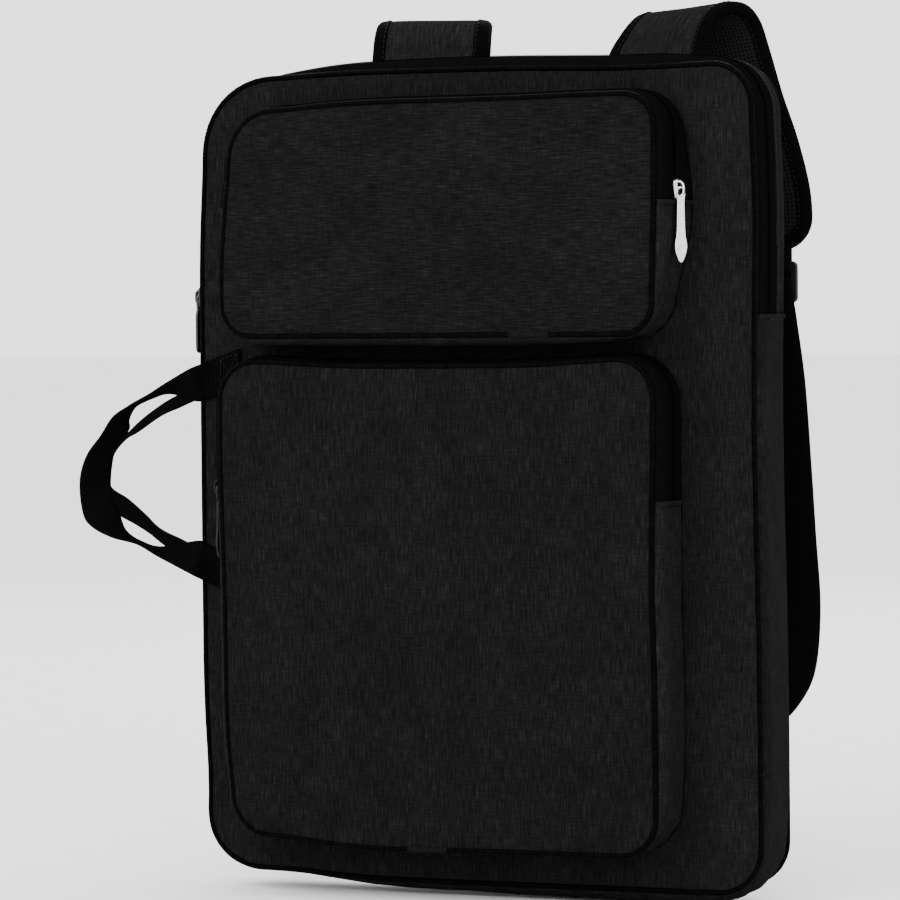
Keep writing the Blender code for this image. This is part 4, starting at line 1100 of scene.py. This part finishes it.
def make_pocket(name, sizes):
    """One front pocket: cover, piping, sewn side wall, zip and stitching."""
    seam, radii, hinge = sizes["seam"], sizes["radii"], sizes["hinge"]
    body, flap = sizes["bodies"]
    zip_end, pulls, flare = sizes["zip_end"], sizes["pulls"], sizes["flare"]

    def ride_body(piece):
        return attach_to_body(piece, body)

    def blend_face(piece):
        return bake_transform(piece)

    def blend_tape(piece):
        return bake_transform(piece)

    # the pocket cover takes the darker heather copy, which is painted shade
    face = panel(name + "_cover", seam, radii, POCKET_SEAM_Y, -1.0, (0.0004, 0.0016, 0.0012),
                 0.0026, FACE_HEATHER_PAINTED_SHADE, LINING, 110, 90, sizes["streaks_up"],
                 (0.0006, 12.0 + hinge))
    blend_face(reshape(face, pulls))
    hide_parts(name + "_face_lower", name + "_face_upper")

    cord = tube(name + "_cord", outline(seam, radii), POCKET_SEAM_Y, PIPING_RADIUS, True, CORD,
                seed=hinge)
    attach(cord, pulls, blend_face, name + "_piping_lower", name + "_piping_upper")

    def shape(where):
        x, z, amount = sizes["slack"]
        away = (where[:, 0] - x) ** 2 + (where[:, 1] - z) ** 2
        left = np.clip((-0.125 - where[:, 0]) / 0.015, 0.0, 1.0)
        below = np.clip((zip_end - where[:, 1]) / 0.012, 0.0, 1.0)
        low = np.clip((seam[2] + 0.020 - where[:, 1]) / 0.018, 0.0, 1.0)
        slack = amount * np.exp(-away / 0.030 ** 2) + sizes["left_slack"] * left * below
        return np.clip(1.0 - slack - sizes["low_slack"] * low, 0.10, 1.0)

    base = -CASE_SEAM_Y - 0.0002
    front = POCKET_SEAM_Y + 0.0004
    profile = pocket_profile(front, base, 18)
    low = low_path(seam, radii, zip_end)
    # the pocket wall takes the lighter heather copy, which is painted light
    gusset = wall(name + "_wall", low, profile, WALL_HEATHER_PAINTED_LIGHT, hems=True,
                  seed=hinge * 50.0, ripples=0.0008, shape=shape, creases=sizes["creases"],
                  flare=flare)
    ride_body(reshape(gusset, pulls))
    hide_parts(name + "_gusset")
    # dark strip of piping cloth along the wall's foot: partly the real seam, partly painted shade where
    # the wall meets the front
    seam_shade_foot = [(y, out + 0.0003) for y, out in pocket_profile(*SEAM_SHADE_LINE_Y, 4)]
    line = wall(name + "_base_seam_painted_shade", low, seam_shade_foot, CORD, thickness=0.0006, ripples=0.0,
                shape=shape, flare=flare)
    attach(line, pulls, ride_body)
    sewing = hem_stitches(low, profile, front, base)
    attach(scatter(name + "_stitching", sewing, STITCH, THREAD), pulls, ride_body)

    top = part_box(name + "_zip_tape_rear")[1].z - POCKET_BULGE
    high = high_path((seam[0], seam[1], seam[2], top), radii, zip_end)
    tapes = (("rear", pocket_profile(POCKET_CLOSURE_Y + TAPE_GAP, base, 10), ride_body, flare),
             ("front", pocket_profile(front, POCKET_CLOSURE_Y - TAPE_GAP, 12), blend_tape, None))
    for row, tape_profile, hang, tape_flare in tapes:
        tape = wall(name + "_tape_" + row, high, tape_profile, TAPE,
                    thickness=TAPE_THICK, seed=hinge * 70.0, ripples=0.0003, flare=tape_flare)
        attach(tape, pulls, hang, name + "_zip_tape_" + row)
    for row, turn, hang in (("rear", 1.0, ride_body), ("front", -1.0, blend_tape)):
        teeth = zip_teeth(name + "_teeth_" + row, high, pocket_lift, POCKET_CLOSURE_Y, turn, TEETH)
        attach(teeth, pulls, hang, name + "_zip_coil_" + row)

    start_x, end_x = sizes["join"]
    sleeve = tube(name + "_cord_join", [(start_x, seam[2]), (end_x, seam[2])], POCKET_SEAM_Y,
                  PIPING_RADIUS + 0.0004, False, HEATHER, 12, 0.002, 3.0)
    attach(sleeve, pulls, ride_body)


# ---------------------------------------------------------------- zip pulls
def make_slider(name, node, body, side, material, pulls):
    """Die-cast slider: waisted top plate, side rails and a loop for the pull."""
    low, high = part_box(node)
    wall_x = low.x if side > 0 else high.x
    y = (low.y + high.y) / 2.0
    z = (low.z + high.z) / 2.0
    half_long, half_wide = (high.z - low.z) / 2.0, (high.y - low.y) / 2.0
    origin = Vector((wall_x + side * 0.0024, y, z))
    matrix = facing_matrix(origin, (0.0, side, 0.0), (0.0, 0.0, 1.0))
    nose, tail, waist = half_wide, half_wide * 0.72, half_wide * 0.80
    half = [(nose * 0.55, half_long), (nose * 0.92, half_long * 0.82), (nose, half_long * 0.5),
            (waist, -half_long * 0.1), (tail, -half_long * 0.65), (tail * 0.8, -half_long)]
    shape = half + [(-x, v) for x, v in reversed(half)]
    shape = [tuple(p) for p in smooth_loop(shape, 4)]
    parts = [plate(name + "_top", [shape[::-1]], 0.0013, 0.0004, matrix, material)]
    sunk = facing_matrix(origin - Vector((side * 0.0013, 0.0, 0.0)), (0.0, side, 0.0),
                         (0.0, 0.0, 1.0))
    for sign in (-1.0, 1.0):
        ring = [(sign * (u - 0.0007), v) for u, v in half]
        ring += [(sign * u, v) for u, v in reversed(half)]
        if sign > 0:
            ring = ring[::-1]
        parts.append(plate(name + "_rail", [ring], 0.0018, 0.0002, sunk, material))
    arch = [(0.0005, -0.0044), (0.0018, -0.0040), (0.0029, -0.0030), (0.0034, -0.0015),
            (0.0034, 0.0015), (0.0029, 0.0030), (0.0018, 0.0040), (0.0005, 0.0044)]
    route = [((origin.x + side * out, y, z + up), (0.0, 1.0, 0.0)) for out, up in arch]
    parts.append(band(name + "_loop", Track(route, 5), 0.0024, 0.0012, material, 0.0004))
    slider = follow(merge(name, parts), pulls)
    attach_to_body(slider, body)
    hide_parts(node)


def smooth_loop(points, steps):
    """Closed smooth outline through points."""
    count = len(points)
    result = []
    for index in range(count):
        rows = [Vector(points[(index + k) % count]) for k in (-1, 0, 1, 2)]
        before, start, end, after = rows
        for step in range(steps):
            t = step / steps
            result.append(0.5 * (2.0 * start + (end - before) * t
                                 + (2.0 * before - 5.0 * start + 4.0 * end - after) * t ** 2
                                 + (3.0 * start - before - 3.0 * end + after) * t ** 3))
    return result


def make_puller(name, node, body, side, twist, material, teardrop, pulls):
    """Pull tab: an eye over the slider's loop, a neck and a widening tab with a hollow."""
    low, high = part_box(node)
    axis_x = (low.x + high.x) / 2.0
    y = (low.y + high.y) / 2.0
    turned = math.radians(twist)
    across = (math.sin(turned) * side, math.cos(turned) * side, 0.0)
    matrix = facing_matrix((axis_x, y, high.z), across, (0.0, 0.0, 1.0))
    length = high.z - low.z
    if teardrop:
        half = [(0.0014, 0.0006), (0.0027, -0.0006), (0.0030, -0.0030), (0.0026, -0.0062),
                (0.0024, -0.0090), (0.0026, -0.0170), (0.0027, -0.0235), (0.0031, -0.0280),
                (0.0039, -0.0325), (0.0037, -0.0360), (0.0026, -0.0395), (0.0010, 0.0002 - length)]
        hollow = ellipse(0.0, -0.0352, 0.0013, 0.0021)
    else:
        half = [(0.0016, 0.0006), (0.0026, -0.0004), (0.0028, -0.0030), (0.0024, -0.0062),
                (0.0024, -0.0085), (0.0036, -0.0115), (0.0038, -0.0200), (0.0038, -0.0290),
                (0.0031, -0.0325), (0.0014, 0.0004 - length)]
        hollow = ellipse(0.0, -0.0210, 0.0020, 0.0080)
    shape = [tuple(p) for p in smooth_loop(half + [(-a, b) for a, b in reversed(half)], 5)]
    eye = ellipse(0.0, -0.0029, 0.0016, 0.0024)
    rim = plate(name + "_rim", [shape[::-1], eye, hollow], 0.0016, 0.0005, matrix, material)
    floor_ring = [(a * 1.12, -0.0001 + b) for a, b in hollow]
    floor = plate(name + "_floor", [floor_ring], 0.0007, 0.0001, matrix, material)
    puller = follow(merge(name, [rim, floor]), pulls)
    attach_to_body(puller, body)
    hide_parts(node)


# ---------------------------------------------------------------- handles and straps
def make_handle(name, mirror):
    """Carry handle: a webbing band sewn flat at both ends and standing out in a loop."""
    top, bottom = HANDLE_ENDS
    sewn_y = CASE_SEAM_Y + 0.0026
    sewn = [(-0.1500, sewn_y, 0.0), (-0.1600, sewn_y, 0.0), (-0.1680, sewn_y, 0.0),
            (-0.1740, sewn_y + 0.0026, 0.25), (-0.1800, sewn_y + 0.0050, 0.55)]
    rise, fall = HANDLE_TILTS if mirror > 0.0 else (0.0, 0.0)
    upper = [((x, -y * mirror, top + rise * (x + 0.1740)), (0.0, -turn * mirror, 1.0 - turn / 3.0))
             for x, y, turn in sewn]
    lower = [((x, -y * mirror, bottom + fall * (x + 0.1780)),
              (0.0, -turn * mirror, turn / 3.0 - 1.0)) for x, y, turn in reversed(sewn)]
    loop = []
    for outer, inner in HANDLE_LOOPS[name]:
        across = Vector(outer) - Vector(inner)
        width = min(max(across.length, HANDLE_NARROW), HANDLE_WIDTH)
        middle = (Vector(outer) + Vector(inner)) / 2.0
        if mirror < 0.0:
            middle = Vector(inner) + across.normalized() * width / 2.0
        loop.append((middle, across.normalized() * width / HANDLE_WIDTH))
    track = Track(upper + loop + lower, 10, False)
    piece = band(name + "_band", track, HANDLE_WIDTH, 0.0015, WEBBING)
    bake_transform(piece)
    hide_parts(name, name + "_end_upper", name + "_end_lower")
    outside = -0.00082 if track.frame(0.004)[2][1] * mirror > 0 else 0.00082
    near, far, half = 0.0020, 0.0135, 0.0096
    spots = (box_stitch(track, near, far, half, outside)
             + box_stitch(track, track.length - far, track.length - near, half, outside))
    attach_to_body(scatter(name + "_stitching", spots, STITCH, THREAD), "case")


# half thickness of a pad at its edge, and how far in from there it reaches full thickness
PAD_EDGE = 0.0016
PAD_REACH = 0.013
# binding: (in from the edge, standing over the pad) on each side, and where it is stitched
BINDING_OVER = ((0.0070, 0.0005), (0.0058, 0.0008), (0.0030, 0.0008), (0.0010, 0.0009))
BINDING_STITCH = 0.0058


def pad_outline(length, inset):
    """Edge of a strap pad in (distance along, sideways), from one sewn corner to the other."""
    half = PAD_HALF - inset
    radius = max(PAD_ROUND - inset, 0.002)
    end = length - inset
    side = [(t, half) for t in np.linspace(0.0, end - radius, 70)]
    turn = [(end - radius + radius * math.sin(a), half - radius + radius * math.cos(a))
            for a in np.linspace(0.0, math.pi / 2.0, 10)[1:]]
    near = side + turn + [(end, v) for v in np.linspace(half - radius, 0.0, 6)[1:]]
    return near + [(a, -b) for a, b in reversed(near[:-1])]


def make_strap(side, sizes):
    """Shoulder strap: padding, bound edge and stitching, then its lock and webbing."""
    prefix = side + "_strap"
    body = prefix
    route = [((Vector(a) + Vector(b)) / 2.0, (Vector(b) - Vector(a)) / (2.0 * PAD_HALF))
             for a, b in sizes["edges"]]
    track = Track(route, 10, False)
    length = track.length

    def blend_pad(piece):
        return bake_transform(piece)

    seam = (-PAD_HALF, PAD_HALF, 0.0, length)
    radii = (0.0008, 0.0008, PAD_ROUND, PAD_ROUND)
    inset = 0.0012
    shape = (seam[0] + inset, seam[1] - inset, seam[2], seam[3] - inset)
    round_off = [max(r - inset, 0.0005) for r in radii]
    x, z = rounded_grid(shape, round_off, 130, 30, 8)
    sides = np.minimum(np.minimum(x - seam[0], seam[1] - x), seam[3] - z)
    inside = np.minimum(edge_distance(x, z, (seam[0], seam[1], -0.2, seam[3]), radii),
                        sides + 0.004)
    full = PAD_THICK / 2.0
    puff = PAD_EDGE + (full - PAD_EDGE) * roll(inside, PAD_REACH)
    wave = 0.0004 * (ripple(x, z, 40.0, 2.0 if side == "left" else 6.0))
    outer_height = puff + wave * np.clip(inside / 0.01, 0.0, 1.0)
    inner_height = -puff - wave * 0.5
    flat_x, flat_z = x.ravel(), z.ravel()
    outward = track.frame(length * 0.8)[2][1] > 0.0
    direction = 1.0 if outward else -1.0

    def surface(height):
        rows = [track.point(b, a, direction * h) for a, b, h in zip(flat_x, flat_z, height.ravel())]
        return np.array(rows).reshape(*x.shape, 3)

    weave = np.stack([x, z, x * 0.0], axis=-1)
    pad = shell(prefix + "_padding", surface(outer_height), surface(inner_height), weave,
                STRAP_HEATHER, BACK_MESH, flip=outward)
    blend_pad(pad)
    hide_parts(prefix + "_pad", prefix + "_sewn_end")

    def puff_at(depth):
        return PAD_EDGE + (full - PAD_EDGE) * float(roll(np.array(depth), PAD_REACH))

    half_wrap = [(depth, puff_at(depth) + over) for depth, over in BINDING_OVER]
    half_wrap.append((-0.0006, 0.0019))
    wrap = half_wrap + [(-0.0012, 0.0)] + [(a, -b) for a, b in reversed(half_wrap)]
    inner_wrap = [(a + 0.0004 if a < 0.0 else a, b * 0.72) for a, b in reversed(wrap)]
    section = wrap + inner_wrap
    rings = [pad_outline(length, a) for a, b in section]
    count = len(rings[0])
    points, marks = [], []
    for k in range(count):
        for number, (a, b) in enumerate(section):
            distance, sideways = rings[number][k]
            points.append(track.point(distance, sideways, direction * b))
            marks.append((k * 0.004, number * 0.0012, 0.0))
    faces = grid_faces(count, len(section), 0, not outward, True)
    faces += [tuple(range(len(section))), tuple((count - 1) * len(section) + j
                                                for j in reversed(range(len(section))))]
    binding = build(prefix + "_edge_binding", points, faces, marks, BINDING)
    blend_pad(binding)
    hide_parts(prefix + "_binding")

    spots = []
    for sign in (1.0, -1.0):
        line = pad_outline(length, BINDING_STITCH)
        stitch_height = puff_at(BINDING_STITCH) + 0.0009
        path = [track.point(a, b, direction * sign * stitch_height) for a, b in line]
        ups = [track.frame(a)[2] * direction * sign for a, b in line]
        spots += stitch_line(path, ups, 0.0034)
    for distance in (0.005, 0.030):
        line = [track.point(distance, v, direction * (full + 0.0004))
                for v in np.linspace(-PAD_HALF + 0.008, PAD_HALF - 0.008, 12)]
        spots += stitch_line(line, [track.frame(distance)[2] * direction] * 12, 0.0028)
    blend_pad(scatter(prefix + "_stitching", spots, STITCH, THREAD))

    make_lock(prefix, sizes, track, body)
    make_strap_webbing(prefix, sizes)


def make_lock(prefix, sizes, track, body):
    """Ladder lock: frame with a top slot and a gripping bar, and its folded webbing loop."""
    low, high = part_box(prefix + "_ladder_lock")
    centre = (low + high) / 2.0 + Vector((sizes["lock_shift"], 0.0, 0.0))
    half_x, half_z = (high.x - low.x) / 2.0 - 0.0010, (high.z - low.z) / 2.0
    matrix = facing_matrix(centre, (1.0, 0.0, 0.0), (0.0, 0.0, 1.0))
    frame_line = [tuple(p) for p in outline((-half_x, half_x, -half_z, half_z), (0.0035,) * 4)]
    slot_half = 0.0126
    holes = []
    for sign in (-1.0, 1.0):
        middle = sign * (LOCK_BAR + LOCK_SLOT) / 2.0
        holes.append(outline((-slot_half, slot_half, middle - LOCK_SLOT / 2.0,
                              middle + LOCK_SLOT / 2.0), (0.0012,) * 4))
    body_plate = plate(prefix + "_lock_frame", [frame_line] + holes, 0.0030, 0.0008, matrix, BUCKLE)
    ridges = []
    for k in range(9):
        x = -0.0112 + 0.0028 * k
        ridges.append(((centre.x + x, centre.y + 0.0016, centre.z), (1.0, 0.0, 0.0),
                       (0.0, 0.0, 1.0), (0.0, 1.0, 0.0)))
    grip = scatter(prefix + "_lock_ridges", ridges, (0.0005, 0.0018, 0.0004), BUCKLE)
    lock = merge(prefix + "_buckle", [body_plate, grip])
    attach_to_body(lock, body)
    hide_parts(prefix + "_ladder_lock")

    turn_z = centre.z + LOCK_BAR / 2.0 + LOCK_SLOT + 0.0008
    end_z = track.places[-1][2] + 0.0025
    rows = [(centre.x, centre.y - LOCK_PASS, end_z),
            (centre.x, centre.y - LOCK_PASS, turn_z + 0.002)]
    rows += [(centre.x, centre.y - LOCK_PASS * math.cos(math.radians(a)),
              turn_z - LOCK_PASS * math.sin(math.radians(a))) for a in range(0, 181, 30)]
    rows += [(centre.x, centre.y + LOCK_PASS, turn_z + 0.002),
             (centre.x, centre.y + LOCK_PASS, end_z)]
    loop = band(prefix + "_buckle_loop", Track([(row, (1.0, 0.0, 0.0)) for row in rows], 4),
                STRAP_WEB, STRAP_WEB_THICK, WEBBING, 0.0008)
    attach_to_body(loop, body)
    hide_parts(prefix + "_lock_loop")


def make_strap_webbing(prefix, sizes):
    """Adjusting webbing from its anchor through the ladder lock to its loose end."""
    low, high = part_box(prefix + "_ladder_lock")
    lock = (low + high) / 2.0 + Vector((sizes["lock_shift"], 0.0, 0.0))
    run = list(sizes["run"]) + [(lock.x + sizes["web_drift"], lock.y - LOCK_PASS, lock.z - 0.018)]
    smooth = [tuple(v) for v in smooth_rows(run, 4)]
    turn_z = lock.z + 0.0012
    wrap = [(lock.x, lock.y - LOCK_PASS * math.cos(math.radians(a)),
             turn_z + LOCK_PASS * math.sin(math.radians(a))) for a in range(0, 181, 30)]
    tail = [(0.0, 0.012), (0.006, 0.035), (0.022, 0.075)]
    tail = [tuple(v) for v in smooth_rows([(lock.x, lock.y + LOCK_PASS + a, lock.z - b)
                                           for a, b in tail], 3)]
    route = [(place, (1.0, 0.0, 0.0)) for place in smooth + wrap + tail]
    web = band(prefix + "_web", Track(route, 3), STRAP_WEB, STRAP_WEB_THICK, WEBBING,
               0.0018)
    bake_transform(web)
    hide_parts(prefix + "_webbing")

    anchor_low, anchor_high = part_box(prefix + "_anchor")
    middle = (anchor_low + anchor_high) / 2.0
    face_y = CASE_SEAM_Y + 0.0022
    steps = ((0.0, anchor_low.z), (0.0, middle.z), (0.0002, anchor_high.z - 0.004),
             (0.0014, anchor_high.z))
    tab_track = Track([((middle.x, face_y + lift, z), (1.0, 0.0, 0.0)) for lift, z in steps], 6)
    tab = band(prefix + "_anchor_tab", tab_track, anchor_high.x - anchor_low.x, 0.0018, WEBBING,
               0.0015)
    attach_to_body(tab, "case")
    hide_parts(prefix + "_anchor")
    outside = 0.0010 if tab_track.frame(0.01)[2][1] > 0.0 else -0.0010
    spots = box_stitch(tab_track, 0.003, tab_track.length - 0.008, 0.0115, outside)
    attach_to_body(scatter(prefix + "_anchor_stitching", spots, STITCH, THREAD), "case")


# ---------------------------------------------------------------- stage
LIGHTS = (
    # name, place, size, power
    ("key_light", (-0.8, -2.6, 2.2), 1.6, 56.0),
    ("fill_light", (1.1, -2.4, 1.2), 1.4, 20.0),
    ("rim_light", (-0.4, 2.3, 1.8), 1.4, 28.0),
)
LIGHTS_AIM = (0.0, 0.0, 0.25)
CAMERA_TARGET = (-0.027, 0.0035, 0.264)
CAMERA_DISTANCE = 2.72
CAMERA_LENS = 182.1


def make_stage():
    """White surroundings, a paper floor and three soft lights."""
    world = bpy.context.scene.world
    if world is None:
        world = bpy.data.worlds.new("studio")
    bpy.context.scene.world = world
    world.use_nodes = True
    background = world.node_tree.nodes["Background"]
    background.inputs["Color"].default_value = (1.0, 1.0, 1.0, 1.0)
    background.inputs["Strength"].default_value = 2.4
    floor_material = Nodes("floor_paper", (0.86, 0.86, 0.86), 0.9)
    grain = floor_material.noise(floor_material.space((40.0,) * 3), 2.0)
    floor_material.colour(grain, ((0.3, grey(0.85)), (0.7, grey(0.88))))
    mesh = bpy.data.meshes.new("floor")
    mesh.from_pydata([(-30, -30, 0), (30, -30, 0), (30, 30, 0), (-30, 30, 0)], [], [(0, 1, 2, 3)])
    mesh.materials.append(floor_material.material)
    floor = bpy.data.objects.new("floor", mesh)
    floor.location = (0.0, 0.0, -0.0004)
    bpy.context.scene.collection.objects.link(floor)
    for name, place, size, power in LIGHTS:
        data = bpy.data.lights.new(name, "AREA")
        data.size = size
        data.energy = power
        light = bpy.data.objects.new(name, data)
        light.location = place
        aim = Vector(LIGHTS_AIM) - Vector(place)
        light.rotation_euler = aim.to_track_quat("-Z", "Y").to_euler()
        bpy.context.scene.collection.objects.link(light)


def make_camera():
    """Long lens a little above the middle of the case, looking at its front right corner."""
    azimuth, elevation, turn = math.radians(22.0), math.radians(1.76), math.radians(-0.5)
    back = Vector((math.sin(azimuth) * math.cos(elevation),
                   -math.cos(azimuth) * math.cos(elevation), math.sin(elevation)))
    right = (-back).cross(Vector((0.0, 0.0, 1.0))).normalized()
    up = right.cross(-back)
    turned_right = right * math.cos(turn) + up * math.sin(turn)
    turned_up = up * math.cos(turn) - right * math.sin(turn)
    data = bpy.data.cameras.new("camera")
    data.lens = CAMERA_LENS
    data.sensor_width = 36.0
    camera = bpy.data.objects.new("camera", data)
    matrix = Matrix((turned_right, turned_up, back)).transposed().to_4x4()
    matrix.translation = Vector(CAMERA_TARGET) + back * CAMERA_DISTANCE
    camera.matrix_world = matrix
    bpy.context.scene.collection.objects.link(camera)
    bpy.context.scene.camera = camera


make_camera()
make_case()
for pocket_name, pocket_sizes in POCKETS.items():
    make_pocket(pocket_name, pocket_sizes)
    slider_body, puller_body, side_sign, metal, metal_slot, twist = pocket_sizes["slider"]
    make_slider(pocket_name + "_pull_slider", pocket_name + "_zip_slider", slider_body, side_sign,
                metal, pocket_sizes["pulls"])
    make_puller(pocket_name + "_pull_tab", pocket_name + "_zip_puller", puller_body, side_sign,
                twist, metal, True, pocket_sizes["pulls"])
make_slider("main_pull_slider", "main_zip_slider", "main_slider", -1.0, GUNMETAL,
            CASE_PULLS)
make_puller("main_pull_tab", "main_zip_puller", "main_puller", -1.0, 0.0, GUNMETAL,
            False, CASE_PULLS)
make_handle("front_handle", 1.0)
make_handle("rear_handle", -1.0)
for strap_side, strap_sizes in STRAPS.items():
    make_strap(strap_side, strap_sizes)
make_stage()
